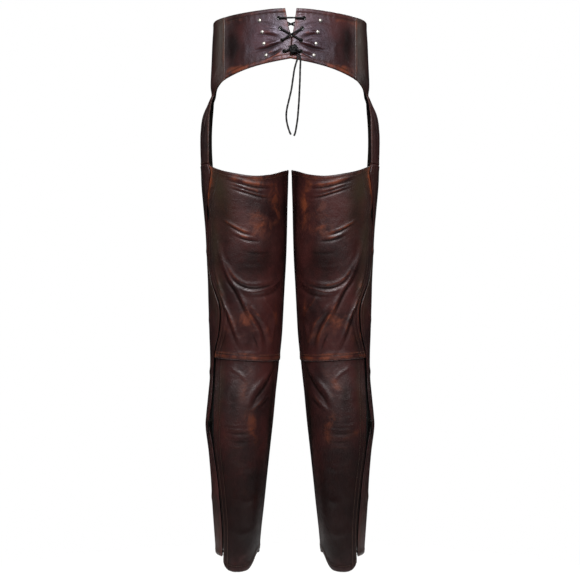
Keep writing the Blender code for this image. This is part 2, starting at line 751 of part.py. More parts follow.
def make_belt(belt_leather, brass):
    """Buckle strap on the wearer's left and tip strap on the right, joined by a heel-bar buckle."""
    belt_wall("belt_strap_left", BUCKLE_STRAP, belt_leather)
    strap = belt_wall("belt_strap_right", TIP_STRAP, belt_leather)
    bpy.ops.mesh.primitive_cube_add(size=1.0)
    slot = bpy.context.object
    middle_of_hole = Matrix.Translation(front_point(PRONG_HOLE_X, BELT_MIDDLE, PRONG_HOLE_OUT))
    slot.matrix_world = middle_of_hole @ Matrix.Diagonal((*PRONG_HOLE_SIZE, 1.0))
    slot.hide_render = True
    slot.display_type = "WIRE"
    hole = strap.modifiers.new("prong_hole", "BOOLEAN")
    hole.operation = "DIFFERENCE"
    hole.solver = "EXACT"
    hole.object = slot
    ring = []
    for x_way, z_way in ((-1, -1), (-1, 1), (1, 1), (1, -1)):
        for across, up in CORNER[::-1] if x_way * z_way > 0 else CORNER:
            x = x_way * across * FRAME_HALF_WIDTH
            out = HEEL_OUT + (FAR_OUT - HEEL_OUT) * (x + FRAME_HALF_WIDTH) / (2 * FRAME_HALF_WIDTH)
            ring.append(front_point(x, BELT_MIDDLE + z_way * up * FRAME_HALF_HEIGHT, out))
    tube("buckle_frame", ring, FRAME_RADIUS, brass, closed=True)
    tube("buckle_prong", [front_point(x, BELT_MIDDLE, out) for x, out in PRONG], PRONG_RADIUS, brass)
    make_keeper(belt_leather)


def make_keeper(belt_leather):
    """A closed loop of leather round the buckle strap and the tip."""
    bm = bmesh.new()
    high = (BELT_TOP - BELT_BOTTOM) / 2 + 2 * SEAM
    loops = []
    for x in (KEEPER_X - KEEPER_WIDTH / 2, KEEPER_X + KEEPER_WIDTH / 2):
        for wide in (0.0, KEEPER_WALL):
            low_out = -SEAM - wide
            top_out = BELT_OVER + BELT + 2 * SEAM + wide
            corners = ((high + wide, low_out), (high + wide, top_out))
            corners += ((-high - wide, top_out), (-high - wide, low_out))
            loops.append([bm.verts.new(front_point(x, BELT_MIDDLE + dz, out)) for dz, out in corners])
    near_in, near_out, far_in, far_out = loops
    for a, b in ((near_in, near_out), (near_out, far_out), (far_out, far_in), (far_in, near_in)):
        for k in range(4):
            bm.faces.new((a[k], a[(k + 1) % 4], b[(k + 1) % 4], b[k]))
    add("belt_keeper", bm, belt_leather, smooth=False)


def make_lace(cotton):
    """The lace: over the gap, crossed behind and before it, then a knot with two hanging tails."""
    rim = LAID_ON + EYELET_RIM + LACE_RADIUS + 3 * SEAM
    behind = -LEATHER - LACE_RADIUS - 3 * SEAM
    left = [(row.eyelet_left, row.eyelet_z) for row in FIXINGS]
    right = [(row.eyelet_right, row.eyelet_z) for row in FIXINGS]

    def through(eyelet, towards, from_out):
        """Stations through one eyelet, arriving from towards and leaving on the other face."""
        x, z = eyelet
        reach = math.hypot(towards[0] - x, towards[1] - z)
        dx = (towards[0] - x) / reach
        dz = (towards[1] - z) / reach
        out = rim if from_out else behind
        return [
            (x + LACE_RUN * dx, z + LACE_RUN * dz, out),
            (x + LACE_TURN * dx, z + LACE_TURN * dz, out * 0.8),
            (x, z, -LEATHER / 2),
        ]

    def middle(a, b, out):
        return [((a[0] + b[0]) / 2, (a[1] + b[1]) / 2, out)]

    knot = (KNOT_X, KNOT_Z)
    lead = [(knot[0] - LEAD_IN, knot[1] + LACE_TURN, rim + LAID_ON)]
    path = lead + through(left[3], knot, True) + through(left[3], right[2], False)[1::-1]
    path += middle(left[3], right[2], behind) + through(right[2], left[3], False)
    path += through(right[2], left[1], True)[1::-1] + middle(right[2], left[1], rim)
    path += through(left[1], right[2], True) + through(left[1], right[0], False)[1::-1]
    path += middle(left[1], right[0], behind) + through(right[0], left[1], False)
    path += through(right[0], left[0], True)[1::-1] + middle(right[0], left[0], rim)
    path += through(left[0], right[0], True) + through(left[0], right[1], False)[1::-1]
    path += middle(left[0], right[1], behind - LACE_CROSSED) + through(right[1], left[0], False)
    path += through(right[1], left[2], True)[1::-1] + middle(right[1], left[2], rim + LACE_CROSSED)
    path += through(left[2], right[1], True) + through(left[2], right[3], False)[1::-1]
    path += middle(left[2], right[3], behind - LACE_CROSSED) + through(right[3], left[2], False)
    path += through(right[3], knot, True)[1::-1]
    tube("lace_crossing", [back_point(x, z, out) for x, z, out in path], LACE_RADIUS, cotton)

    bm = bmesh.new()
    bmesh.ops.create_icosphere(bm, subdivisions=2, radius=1.0)
    place = frame_at(back_point, *knot)
    size = Matrix.Diagonal((KNOT_HALF_WIDTH, KNOT_HALF_HEIGHT, KNOT_HALF_DEPTH, 1.0))
    bm.transform(place @ Matrix.Translation((0, 0, KNOT_HALF_DEPTH + 2 * SEAM)) @ size)
    add("lace_knot", bm, cotton)
    for name, route in (("lace_tail_left", TAIL_LEFT), ("lace_tail_right", TAIL_RIGHT)):
        tube(name, smooth_route(route, 18), LACE_RADIUS, cotton)


def build():
    for old in list(bpy.data.objects):
        bpy.data.objects.remove(old)
    leather = material("brown_leather", (0.045, 0.020, 0.014), 0.45)
    belt_leather = material("belt_leather", (0.030, 0.013, 0.009), 0.45)
    cotton = material("black_cotton", (0.008, 0.008, 0.009), 0.9)
    nickel = material("nickel", (0.75, 0.74, 0.72), 0.25, 1.0)
    dark_steel = material("dark_steel", (0.12, 0.11, 0.10), 0.4, 1.0)
    brass = material("old_brass", (0.35, 0.25, 0.12), 0.4, 1.0)
    for side_name, side in SIDES:
        make_yoke(side_name, side, leather)
        make_hip_side(side_name, side, leather)
        make_front_leg(side_name, side, leather)
        make_back_thigh(side_name, side, leather)
        make_back_calf(side_name, side, leather)
        make_zip(side_name, side, cotton, dark_steel)
        make_pull(side_name, side, dark_steel)
        make_fixings(side_name, side, nickel, dark_steel)
    make_belt(belt_leather, brass)
    make_lace(cotton)


build()
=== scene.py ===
import math
from collections import namedtuple

import bpy
import numpy as np
from mathutils import Matrix, Vector


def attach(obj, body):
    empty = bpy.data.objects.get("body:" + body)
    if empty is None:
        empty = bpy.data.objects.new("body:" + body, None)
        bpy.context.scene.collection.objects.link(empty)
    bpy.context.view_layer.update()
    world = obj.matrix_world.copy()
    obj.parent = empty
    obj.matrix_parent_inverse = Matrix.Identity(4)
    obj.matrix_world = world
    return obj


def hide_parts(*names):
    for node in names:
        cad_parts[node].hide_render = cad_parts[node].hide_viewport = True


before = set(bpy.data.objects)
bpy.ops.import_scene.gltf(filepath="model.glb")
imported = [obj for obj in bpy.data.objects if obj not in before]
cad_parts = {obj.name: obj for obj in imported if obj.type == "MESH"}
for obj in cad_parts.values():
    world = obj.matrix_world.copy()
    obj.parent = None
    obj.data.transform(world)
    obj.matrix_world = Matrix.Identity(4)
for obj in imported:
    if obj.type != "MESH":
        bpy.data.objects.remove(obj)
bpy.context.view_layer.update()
SIDES = (("left", -1), ("right", 1))

# Camera
# A long lens, square behind the wearer and level with the lower thighs, so that the legs show only the taper
# that they were cut with.
VIEW_BACK = 3.0
VIEW_HEIGHT = -0.493
camera = bpy.data.objects.new("camera", bpy.data.cameras.new("camera"))
camera.data.lens = 96.0
camera.data.clip_end = 60.0
camera.location = (0.0, -VIEW_BACK, VIEW_HEIGHT)
camera.rotation_euler = (math.radians(90), 0, 0)
bpy.context.scene.collection.objects.link(camera)
bpy.context.scene.camera = camera

# Lace tails
# Two ends of one round braided cotton cord, black, 3.6 mm thick and lightly waxed. They leave the knot at
# the foot of the lacing and hang free across the open seat, each cut square.
CORD_RADIUS = 0.0018
ROUTE_STEP = 0.0007
TAIL_LEFT = [
    (0.0118, -0.1192, -0.0545),
    (0.0150, -0.1202, -0.0600),
    (0.0129, -0.1206, -0.0655),
    (0.0084, -0.1204, -0.0811),
    (0.0058, -0.1202, -0.0979),
    (0.0024, -0.1200, -0.1203),
    (-0.0028, -0.1198, -0.1426),
    (-0.0054, -0.1197, -0.1538),
    (-0.0069, -0.1196, -0.1650),
    (-0.0065, -0.1195, -0.1762),
    (-0.0043, -0.1194, -0.1873),
    (-0.0007, -0.1193, -0.1985),
    (0.0019, -0.1192, -0.2036),
]
TAIL_RIGHT = [
    (0.0163, -0.1180, -0.0520),
    (0.0190, -0.1185, -0.0585),
    (0.0195, -0.1186, -0.0680),
    (0.0189, -0.1186, -0.0830),
    (0.0186, -0.1186, -0.0979),
    (0.0177, -0.1186, -0.1203),
    (0.0166, -0.1186, -0.1426),
    (0.0149, -0.1186, -0.1650),
    (0.0138, -0.1186, -0.1762),
    (0.0121, -0.1186, -0.1873),
    (0.0101, -0.1186, -0.1985),
    (0.0075, -0.1186, -0.2060),
]


def reach_along(line):
    """The distance along a line of points, from its start to each of them."""
    return np.concatenate([[0.0], np.cumsum(np.linalg.norm(np.diff(line, axis=0), axis=1))])


def smooth_route(points, step):
    """The smooth curve through a route's own points, as points about step apart along it."""
    route = np.array(points, float)
    padded = np.vstack([2 * route[0] - route[1], route, 2 * route[-1] - route[-2]])
    fine = []
    for a, b, c, d in zip(padded, padded[1:], padded[2:], padded[3:]):
        for t in np.linspace(0, 1, 16, endpoint=False):
            bend = 2 * a - 5 * b + 4 * c - d
            fine.append(0.5 * (2 * b + (c - a) * t + bend * t**2 + (3 * b - a - 3 * c + d) * t**3))
    fine = np.array([*fine, route[-1]])
    along = reach_along(fine)
    wanted = np.linspace(0.0, along[-1], max(3, round(along[-1] / step) + 1))
    return np.stack([np.interp(wanted, along, fine[:, k]) for k in range(fine.shape[1])], axis=1)


def add_mesh(name, points, faces, finishes):
    """A new object at the origin from points in the row frame, shaded smooth."""
    mesh = bpy.data.meshes.new(name)
    mesh.from_pydata([tuple(p) for p in points], [], [tuple(f) for f in faces])
    mesh.shade_smooth()
    for finish in finishes:
        mesh.materials.append(finish)
    made = bpy.data.objects.new(name, mesh)
    bpy.context.scene.collection.objects.link(made)
    return made


def braided_cord(name, line, radius, finish):
    """A round cord down a line of points, its strands raised in a diamond braid."""
    sides = 14
    strands = 4
    lay = 7 * radius
    along = reach_along(line)
    tangents = np.gradient(line, axis=0)
    tangents /= np.linalg.norm(tangents, axis=1)[:, None]
    across = np.cross(tangents[0], (0.31, 0.17, 0.93))
    turns = np.linspace(0, math.tau, sides, endpoint=False)
    points = []
    for here, tangent, reach in zip(line, tangents, along):
        across = across - tangent * np.dot(across, tangent)
        across /= np.linalg.norm(across)
        upward = np.cross(tangent, across)
        twist = math.tau * reach / lay
        raised = np.maximum(np.cos(strands * turns + twist), np.cos(strands * turns - twist))
        radii = radius * (0.93 + 0.07 * raised)
        ends = min(reach, along[-1] - reach) / (0.4 * radius)
        radii = radii * (0.72 + 0.28 * min(1.0, ends))
        points.extend(here + r * (math.cos(t) * across + math.sin(t) * upward) for r, t in zip(radii, turns))
    faces = []
    for ring in range(len(line) - 1):
        for k in range(sides):
            a = ring * sides + k
            b = ring * sides + (k + 1) % sides
            faces.append((a, b, b + sides, a + sides))
    faces.append(tuple(range(sides))[::-1])
    faces.append(tuple(range((len(line) - 1) * sides, len(line) * sides)))
    return add_mesh(name, points, faces, [finish])


def linear(hex_colour):
    """An sRGB hex colour as linear red, green, blue and alpha."""
    parts = [int(hex_colour[i : i + 2], 16) / 255 for i in (1, 3, 5)]
    return (*[c / 12.92 if c <= 0.04045 else ((c + 0.055) / 1.055) ** 2.4 for c in parts], 1.0)


def node(tree, kind, inputs=None, **settings):
    """A new node: settings are its own, and inputs gives each socket a value or the output that feeds it."""
    made = tree.nodes.new("ShaderNode" + kind)
    for name, value in settings.items():
        setattr(made, name, value)
    for name, value in (inputs or {}).items():
        if isinstance(value, bpy.types.NodeSocket):
            tree.links.new(value, made.inputs[name])
        else:
            made.inputs[name].default_value = value
    return made


def new_finish(name, colour, roughness, **others):
    """A material with its Principled shader, whose constant sockets are set here."""
    made = bpy.data.materials.new(name)
    made.use_nodes = True
    shader = made.node_tree.nodes["Principled BSDF"]
    shader.inputs["Base Color"].default_value = linear(colour)
    shader.inputs["Roughness"].default_value = roughness
    for socket, value in others.items():
        shader.inputs[socket.replace("_", " ")].default_value = value
    return made, made.node_tree, shader


def fitted(made, replaced=(), body="root"):
    """A piece with its place in the frame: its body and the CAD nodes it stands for."""
    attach(made, body)
    if replaced:
        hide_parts(*replaced)
    return made


# Braided cotton: fine yarns with a light wax, so black with a soft broken highlight. Yarns of 0.3 mm are
# drawn 0.7 mm wide so that they show.
waxed_cotton, tree, shader = new_finish("waxed_cotton_cord", "#0c0c0d", 0.62, Specular_IOR_Level=0.35)
place = node(tree, "TexCoord")
yarn = node(tree, "TexNoise", {"Vector": place.outputs["Object"], "Scale": 1400.0, "Detail": 2.0})
fuzz = node(tree, "Bump", {"Height": yarn.outputs["Fac"], "Strength": 0.5, "Distance": 0.0003})
tree.links.new(fuzz.outputs["Normal"], shader.inputs["Normal"])

for name, route in (("left", TAIL_LEFT), ("right", TAIL_RIGHT)):
    line = smooth_route(route, ROUTE_STEP)
    tail = braided_cord("lace_end_" + name, line, CORD_RADIUS, waxed_cotton)
    fitted(tail, ["lace_tail_" + name])

# Back yoke
# Two halves of the waist, cut from 1.4 mm antiqued cowhide. Their top and bottom edges are turned under
# ten millimetres and sewn down, and their inner edges are drawn together by the lace.
LEATHER = 0.0014
SEAM = 0.0003
BAND = 0.0100
EYELET_HOLE = 0.0033
BAND_RISE = 0.0006
UNDERLAP = 0.0070
UNDER = 0.0019
GRID = 0.0016
SEW_IN = 0.0016
YOKE_HEIGHT = 0.1
WEAR_AND_SHADE = ("rub", "dark", "olive")
Hip = namedtuple("Hip", "z centre_x half_width depth rear_x front_x")
HIPS = [
    Hip(0.024, 0.000, 0.1480, 0.105, 0.1245, 0.0780),
    Hip(-0.024, 0.000, 0.1510, 0.109, 0.1245, 0.0780),
    Hip(-0.050, 0.000, 0.1520, 0.111, 0.1245, 0.0930),
    Hip(-0.071, 0.000, 0.1530, 0.112, 0.1245, 0.1240),
    Hip(-0.088, 0.000, 0.1538, 0.113, 0.1245, 0.1380),
    Hip(-0.095, 0.000, 0.1540, 0.113, 0.1250, 0.1420),
    Hip(-0.100, 0.000, 0.1539, 0.113, 0.1330, 0.1440),
    Hip(-0.106, 0.000, 0.1534, 0.113, 0.1390, 0.1452),
    Hip(-0.112, 0.000, 0.1524, 0.112, 0.1420, 0.1458),
    Hip(-0.117, 0.002, 0.1522, 0.112, 0.1455, 0.1465),
    Hip(-0.124, 0.008, 0.1552, 0.111, 0.1490, 0.1490),
    Hip(-0.133, 0.020, 0.1590, 0.109, 0.1512, 0.1503),
    Hip(-0.155, 0.042, 0.1678, 0.105, 0.1540, 0.1530),
    Hip(-0.190, 0.066, 0.1723, 0.101, 0.1550, 0.1550),
    Hip(-0.222, 0.080, 0.1729, 0.098, 0.1550, 0.1548),
    Hip(-0.252, 0.088, 0.1730, 0.095, 0.1550, 0.1532),
]
YokeEdge = namedtuple("YokeEdge", "x top bottom")
YOKE_EDGES = [
    YokeEdge(0.000, 0.0350, -0.0608),
    YokeEdge(0.025, 0.0342, -0.0652),
    YokeEdge(0.055, 0.0320, -0.0712),
    YokeEdge(0.086, 0.0295, -0.0795),
    YokeEdge(0.110, 0.0275, -0.0883),
    YokeEdge(0.1245, 0.0260, -0.0945),
]
CentreEdge = namedtuple("CentreEdge", "z left_x right_x")
CENTRE_EDGES = [
    CentreEdge(-0.0610, 0.0007, 0.0015),
    CentreEdge(-0.0400, 0.0018, 0.0026),
    CentreEdge(-0.0240, 0.0029, 0.0037),
    CentreEdge(-0.0160, 0.0024, 0.0044),
    CentreEdge(-0.0050, -0.0014, 0.0065),
    CentreEdge(0.0070, -0.0042, 0.0084),
    CentreEdge(0.0200, -0.0062, 0.0100),
    CentreEdge(0.0350, -0.0090, 0.0122),
]
Fixing = namedtuple("Fixing", "eyelet_left eyelet_right eyelet_z stud_x stud_z")
FIXINGS = [
    Fixing(-0.0209, 0.0262, 0.0160, 0.0570, 0.0125),
    Fixing(-0.0180, 0.0228, -0.0035, 0.0522, -0.0095),
    Fixing(-0.0145, 0.0207, -0.0262, 0.0490, -0.0318),
    Fixing(-0.0105, 0.0200, -0.0470, 0.0448, -0.0540),
]
# Creases and rubbed places, in millimetres: across from centre back, and height. Height and half_width
# are the crease's own; rub is how far its crest is worn to rust, or how much painted shade darkens its
# trough.
Crease = namedtuple("Crease", "half_width height rub points")
YOKE_CREASES = [
    Crease(2.6, -1.9, 1.2, ((70, -45), (51, -42), (37, -39), (27, -35), (13, -31))),
    Crease(3.4, 1.5, 0.4, ((60, -36), (44, -34), (30, -30), (14, -25))),
    Crease(2.2, -1.3, 1.0, ((66, -16), (47, -15), (33, -18), (18, -24))),
    Crease(3.0, 1.2, 0.5, ((60, -11), (45, -9), (30, -11), (18, -15))),
    Crease(2.2, -1.4, 1.0, ((42, -59), (27, -51), (14, -42))),
    Crease(2.6, 1.2, 0.8, ((48, -64), (31, -57), (16, -49))),
    Crease(1.8, -0.9, 0.9, ((48, -24), (36, -26), (24, -29))),
    Crease(2.0, 0.9, 0.6, ((50, -52), (38, -48), (26, -44))),
    Crease(2.4, -0.8, 0.6, ((77, 10), (54, 9), (34, 3), (22, -2))),
    Crease(3.0, 0.7, 0.4, ((52, 2), (38, -1), (24, -3))),
    Crease(2.0, -0.5, 0.5, ((70, -26), (59, -27), (50, -24))),
    Crease(5.0, 0.7, 0.1, ((92, -18), (84, -40), (88, -62))),
    Crease(6.0, -0.6, 0.2, ((112, 6), (108, -30), (112, -66))),
]
# rub is worn rust, dark is painted shade (below 0 it lightens), olive an olive cast (below 0 a violet tint in
# the gloss)
Patch = namedtuple("Patch", "across z half_across half_z rub dark olive")
YOKE_PATCHES = [
    Patch(12, -53, 13, 8, 0.7, 0, 0),
    Patch(12, 6, 9, 12, 0.4, 0, 0),
    Patch(8, -28, 8, 16, 0.4, 0, 0),
    Patch(97, 15, 18, 4, 0.6, 0, 0),
    Patch(122, 13, 10, 7, 0.4, 0, 0),
    Patch(101, -75, 19, 6, 0.8, 0, 0),
    Patch(116, -82, 10, 6, 0.5, 0, 0),
    # Painted shade where the yoke turns away from the light
    Patch(109, -30, 18, 44, 0, 0.85, 0),
    # Lighter: a painted highlight where the yoke's broad sheen falls, with a little rust
    Patch(70, -35, 24, 32, 0.1, -0.25, 0),
    # A little lighter over the middle, and a violet tint in its gloss
    Patch(45, -20, 62, 70, 0, -0.08, -1.0),
]


def column(table, name, at, key="z"):
    """The named column of a table, on a smooth curve through its rows."""
    rows = sorted(table, key=lambda row: getattr(row, key))
    xs = np.array([getattr(row, key) for row in rows])
    ys = np.array([getattr(row, name) for row in rows])
    at = np.clip(at, xs[0], xs[-1])
    i = np.clip(np.searchsorted(xs, at) - 1, 0, len(xs) - 2)
    slopes = np.gradient(ys, xs)
    step = xs[i + 1] - xs[i]
    t = (at - xs[i]) / step
    start = (1 + 2 * t) * (1 - t) ** 2 * ys[i] + t * (1 - t) ** 2 * step * slopes[i]
    end = t * t * (3 - 2 * t) * ys[i + 1] + t * t * (t - 1) * step * slopes[i + 1]
    return start + end


def hip_surface(side, angle, z, out):
    """Points on the waist and hips: angle 0 is the outer side, 90 the back and -90 the front."""
    centre = column(HIPS, "centre_x", z)
    half = column(HIPS, "half_width", z) - centre + out
    depth = column(HIPS, "depth", z) + out
    turn = np.radians(angle)
    return np.stack([side * (centre + half * np.cos(turn)), -depth * np.sin(turn), z + 0 * turn], axis=-1)


def hip_angle(x, z):
    """The angle at which the hip surface is x from the middle, 0 to 180."""
    centre = column(HIPS, "centre_x", z)
    half = column(HIPS, "half_width", z) - centre
    return np.degrees(np.arccos(np.clip((x - centre) / half, -1.0, 1.0)))


def back_surface(x, z, out):
    """Points behind the waist at x, either side of the middle."""
    return hip_surface(1, hip_angle(x, z), z, out)


def surface_frame(surface, across, z, step=0.002):
    """The frame of a surface at one place: x across it, z out of it."""
    here = Vector(surface(np.array(across), np.array(z), 0.0))
    along = Vector(surface(np.array(across + step), np.array(z), 0.0)) - here
    outward = (Vector(surface(np.array(across), np.array(z), step)) - here).normalized()
    up = outward.cross(along.normalized()).normalized()
    made = Matrix((up.cross(outward), up, outward)).transposed().to_4x4()
    made.translation = here
    return made


def near(distance, reach):
    """1 at a distance of nothing, falling softly to 0 past its reach."""
    return np.exp(-((distance / reach) ** 2))


def wear_and_shade_of(creases, patches, across, z, scale_of=lambda z: 0.001):
    """The lift, rubbing, painted shade and olive cast that creases and patches give, at places in metres."""
    lift, rub, dark = (np.zeros_like(z) for _ in range(3))
    for crease in creases:
        line = smooth_route([(a * scale_of(h / 1000), h / 1000) for a, h in crease.points], 0.004)
        half = crease.half_width / 1000
        reach = 2.6 * half
        close = (across > line[:, 0].min() - reach) & (across < line[:, 0].max() + reach)
        close &= (z > line[:, 1].min() - reach) & (z < line[:, 1].max() + reach)
        here = np.stack([across[close], z[close]], axis=1)
        best = np.full(len(here), np.inf)
        along = np.zeros(len(here))
        for k in range(len(line) - 1):
            run = line[k + 1] - line[k]
            t = np.clip(((here - line[k]) @ run) / (run @ run), 0, 1)
            away = np.linalg.norm(here - line[k] - t[:, None] * run, axis=1)
            nearer = away < best
            best[nearer] = away[nearer]
            along[nearer] = (k + t[nearer]) / (len(line) - 1)
        fade = np.sin(np.pi * np.clip(along, 0.015, 0.985)) ** 0.7
        lift[close] += crease.height / 1000 * fade * near(best, half)
        # worn is a crest's rubbing to rust, or in a trough the painted shade that darkens it
        worn = crease.rub * fade * near(best, 0.7 * half)
        if crease.height > 0:
            rub[close] += worn
        else:
            dark[close] += worn
    cast = [np.zeros_like(z) for _ in range(3)]
    for patch in patches:
        off_across = (across - patch.across * scale_of(patch.z / 1000)) / (patch.half_across / 1000)
        strength = np.exp(-(off_across**2) - ((z - patch.z / 1000) / (patch.half_z / 1000)) ** 2)
        for total, amount in zip(cast, (patch.rub, patch.dark, patch.olive)):
            total += amount * strength
    return lift, rub + cast[0], dark + cast[1], cast[2]


def turned_edge(distance, width=BAND):
    """The lift of an edge turned under and sewn: a rounded fold, the band it makes, and the stitch's dip."""
    band = BAND_RISE / (1 + np.exp((distance - width) / 0.0007))
    dip = -0.0007 * near(distance - width + 0.0016, 0.0009)
    fold = -0.0011 * near(distance, 0.0010)
    return band + dip + fold


def tucked(beyond):
    """How far a panel lies in where it passes beyond its seam, under the next panel."""
    return -UNDER / (1 + np.exp(-beyond / 0.00022))


def graded(low, high, step, fine_at=()):
    """Values from low to high about step apart, closer at both ends and at the places in fine_at."""
    values = list(np.linspace(low, high, max(3, round((high - low) / step) + 1)))
    for place in (low, high, *fine_at):
        values += [place + k * 0.0007 * (1 if place < (low + high) / 2 else -1) for k in (1, 2)]
    values = sorted(v for v in values if low <= v <= high)
    kept = [values[0]]
    for v in values[1:-1]:
        if v - kept[-1] > 0.0005 and high - v > 0.0005:
            kept.append(v)
    return np.array([*kept, high])


def leather_shell(name, points, wear_and_shade, replaced, finishes, thickness=LEATHER, full=None):
    """A shell whose face side passes through a grid of points, with its rubbing, painted shade and olive cast
    as attributes. Where full is below 1 the wall is pared down to that share of its thickness."""
    rows, cols = points.shape[:2]
    index = np.arange(rows * cols).reshape(rows, cols)
    faces = np.stack([index[:-1, :-1], index[:-1, 1:], index[1:, 1:], index[1:, :-1]], axis=-1).reshape(-1, 4)
    flat = points.reshape(-1, 3)
    corner = flat[faces]
    normals = np.cross(corner[:, 2] - corner[:, 0], corner[:, 3] - corner[:, 1])
    inside = np.repeat(points.mean(axis=1), cols - 1, axis=0)[: len(faces)]
    if ((corner.mean(axis=1) - inside)[:, :2] * normals[:, :2]).sum() < 0:
        faces = faces[:, ::-1]
    made = add_mesh(name, flat, faces, finishes)
    for attribute, values in zip(WEAR_AND_SHADE, wear_and_shade):
        layer = made.data.attributes.new(attribute, "FLOAT", "POINT")
        layer.data.foreach_set("value", np.clip(values, -1, 1.5).astype(np.float32).ravel())
    across = np.zeros((rows, cols))
    down = np.zeros((rows, cols))
    across[:, 1:] = np.cumsum(np.linalg.norm(np.diff(points, axis=1), axis=2), axis=1)
    down[1:] = np.cumsum(np.linalg.norm(np.diff(points, axis=0), axis=2), axis=0)
    spots = np.stack([across, down], axis=-1).reshape(-1, 2)
    corners = np.zeros(len(made.data.loops), np.int32)
    made.data.loops.foreach_get("vertex_index", corners)
    made.data.uv_layers.new(name="cut").data.foreach_set("uv", spots[corners].astype(np.float32).ravel())
    wall = made.modifiers.new("wall", "SOLIDIFY")
    wall.thickness = thickness
    wall.offset = -1.0
    wall.material_offset = 1
    if full is not None:
        group = made.vertex_groups.new(name="full")
        for index_here, share in enumerate(full.ravel()):
            group.add([index_here], float(share), "REPLACE")
        wall.vertex_group = "full"
    apply_modifiers(made)
    return fitted(made, replaced)


def apply_modifiers(made):
    bpy.ops.object.select_all(action="DESELECT")
    bpy.context.view_layer.objects.active = made
    made.select_set(True)
    for modifier in list(made.modifiers):
        bpy.ops.object.modifier_apply(modifier=modifier.name)


STITCH_PITCH = 0.0034
STITCH_RADIUS = 0.00033
STITCH_PROUD = 0.0001


def spread(name, template, shape, spots, finish):
    """Copies of one small shape, joined in one mesh, at spots of (place, direction along, outward)."""
    points = []
    faces = []
    for place, along, outward in spots:
        first = len(points)
        points.extend(place + template @ np.array([along, np.cross(outward, along), outward]))
        faces.extend(tuple(first + k for k in face) for face in shape)
    return fitted(add_mesh(name, points, faces, [finish]))


def sew(name, runs, finish):
    """Rows of lockstitches as one mesh. Each run is a line of points and the outward direction at each."""
    turns = np.linspace(0, math.tau, 6, endpoint=False)
    half = 0.39 * STITCH_PITCH
    rings = [(-half, 0.0, -1.0), (-0.7 * half, 0.9, 0.1), (0.7 * half, 0.9, 0.1), (half, 0.0, -1.0)]
    template = []
    for reach, wide, high in rings:
        for t in turns[: 6 if wide else 1]:
            y = STITCH_RADIUS * wide * math.cos(t)
            template.append((reach, y, STITCH_RADIUS * (wide * math.sin(t) + high)))
    shape = [(0, 1 + (k + 1) % 6, 1 + k) for k in range(6)]
    shape += [(1 + k, 1 + (k + 1) % 6, 7 + (k + 1) % 6, 7 + k) for k in range(6)]
    shape += [(13, 7 + k, 7 + (k + 1) % 6) for k in range(6)]
    spots = []
    for line, outward in runs:
        along = reach_along(line)
        places = np.arange(STITCH_PITCH / 2, along[-1], STITCH_PITCH)
        at = np.stack([np.interp(places, along, line[:, k]) for k in range(3)], axis=1)
        out = np.stack([np.interp(places, along, outward[:, k]) for k in range(3)], axis=1)
        out /= np.linalg.norm(out, axis=1)[:, None]
        tangent = np.gradient(at, axis=0)
        tangent /= np.linalg.norm(tangent, axis=1)[:, None]
        spots.extend(zip(at, tangent, out))
    return spread(name, np.array(template), shape, spots, finish)


def grid_run(points, row=None, col=None):
    """A line just proud of one row or column of a grid of points, with the outward direction at each."""
    normals = np.cross(np.gradient(points, axis=1), np.gradient(points, axis=0))
    normals /= np.linalg.norm(normals, axis=2)[:, :, None]
    middle = points.mean(axis=1)[:, None, :]
    if ((points - middle)[:, :, :2] * normals[:, :, :2]).sum() < 0:
        normals = -normals
    if col is not None:
        return points[:, col] + STITCH_PROUD * normals[:, col], normals[:, col]
    return points[row] + STITCH_PROUD * normals[row], normals[row]


def nearest(values, wanted):
    """The index of the value closest to the one wanted."""
    return int(np.argmin(np.abs(values - wanted)))


# Antiqued cowhide, drum dyed oxblood brown and top coated nearly black, then rubbed back by hand: dark brown
# with red showing through where it is handled, rust on edges and crests, and a soft wax gloss that blooms
# violet at the waist. An olive cast below 0 is this bloom. Near-black painted shade lies in crease troughs,
# stitch grooves, folded edges and under laps, on the sides turned from the light and down the lower legs,
# and the gloss is lowered with it. The pebble grain of about 1 mm is drawn 2 mm wide so that it shows.
cowhide, tree, shader = new_finish("antiqued_cowhide", "#3a2420", 0.5)
place = node(tree, "TexCoord").outputs["Object"]
rub, dark, olive = (node(tree, "Attribute", attribute_name=name).outputs["Fac"] for name in WEAR_AND_SHADE)
cloudy = node(tree, "TexNoise", {"Vector": place, "Scale": 14.0, "Detail": 5.0, "Roughness": 0.6})
smoky = node(
    tree, "TexNoise", {"Vector": place, "Scale": 42.0, "Detail": 4.0, "Roughness": 0.62, "Distortion": 0.6}
).outputs["Fac"]
body_mix = node(tree, "MapRange", {"Value": cloudy.outputs["Fac"], "From Min": 0.36, "From Max": 0.64})
browns = node(
    tree,
    "Mix",
    {"Factor": body_mix.outputs["Result"], 6: linear("#271313"), 7: linear("#45211f")},
    data_type="RGBA",
)
olived = node(
    tree, "Mix", {"Factor": olive, 6: browns.outputs[2], 7: linear("#3c2f22")}, data_type="RGBA"
)
broken = node(tree, "Math", {0: smoky, 1: 0.5}, operation="SUBTRACT").outputs[0]
patchy = node(tree, "Math", {0: broken, 1: 3.2, 2: 0.85}, operation="MULTIPLY_ADD")
handled = node(tree, "Math", {0: patchy.outputs[0], 1: rub}, operation="MULTIPLY")
scatter = node(tree, "Math", {0: broken, 1: 0.9, 2: handled.outputs[0]}, operation="MULTIPLY_ADD")
rubbed = node(
    tree,
    "MapRange",
    {"Value": scatter.outputs[0], "From Min": 0.10, "From Max": 1.30},
    interpolation_type="SMOOTHSTEP",
)
reds = node(
    tree,
    "Mix",
    {"Factor": rubbed.outputs["Result"], 6: olived.outputs[2], 7: linear("#7c3d24")},
    data_type="RGBA",
)
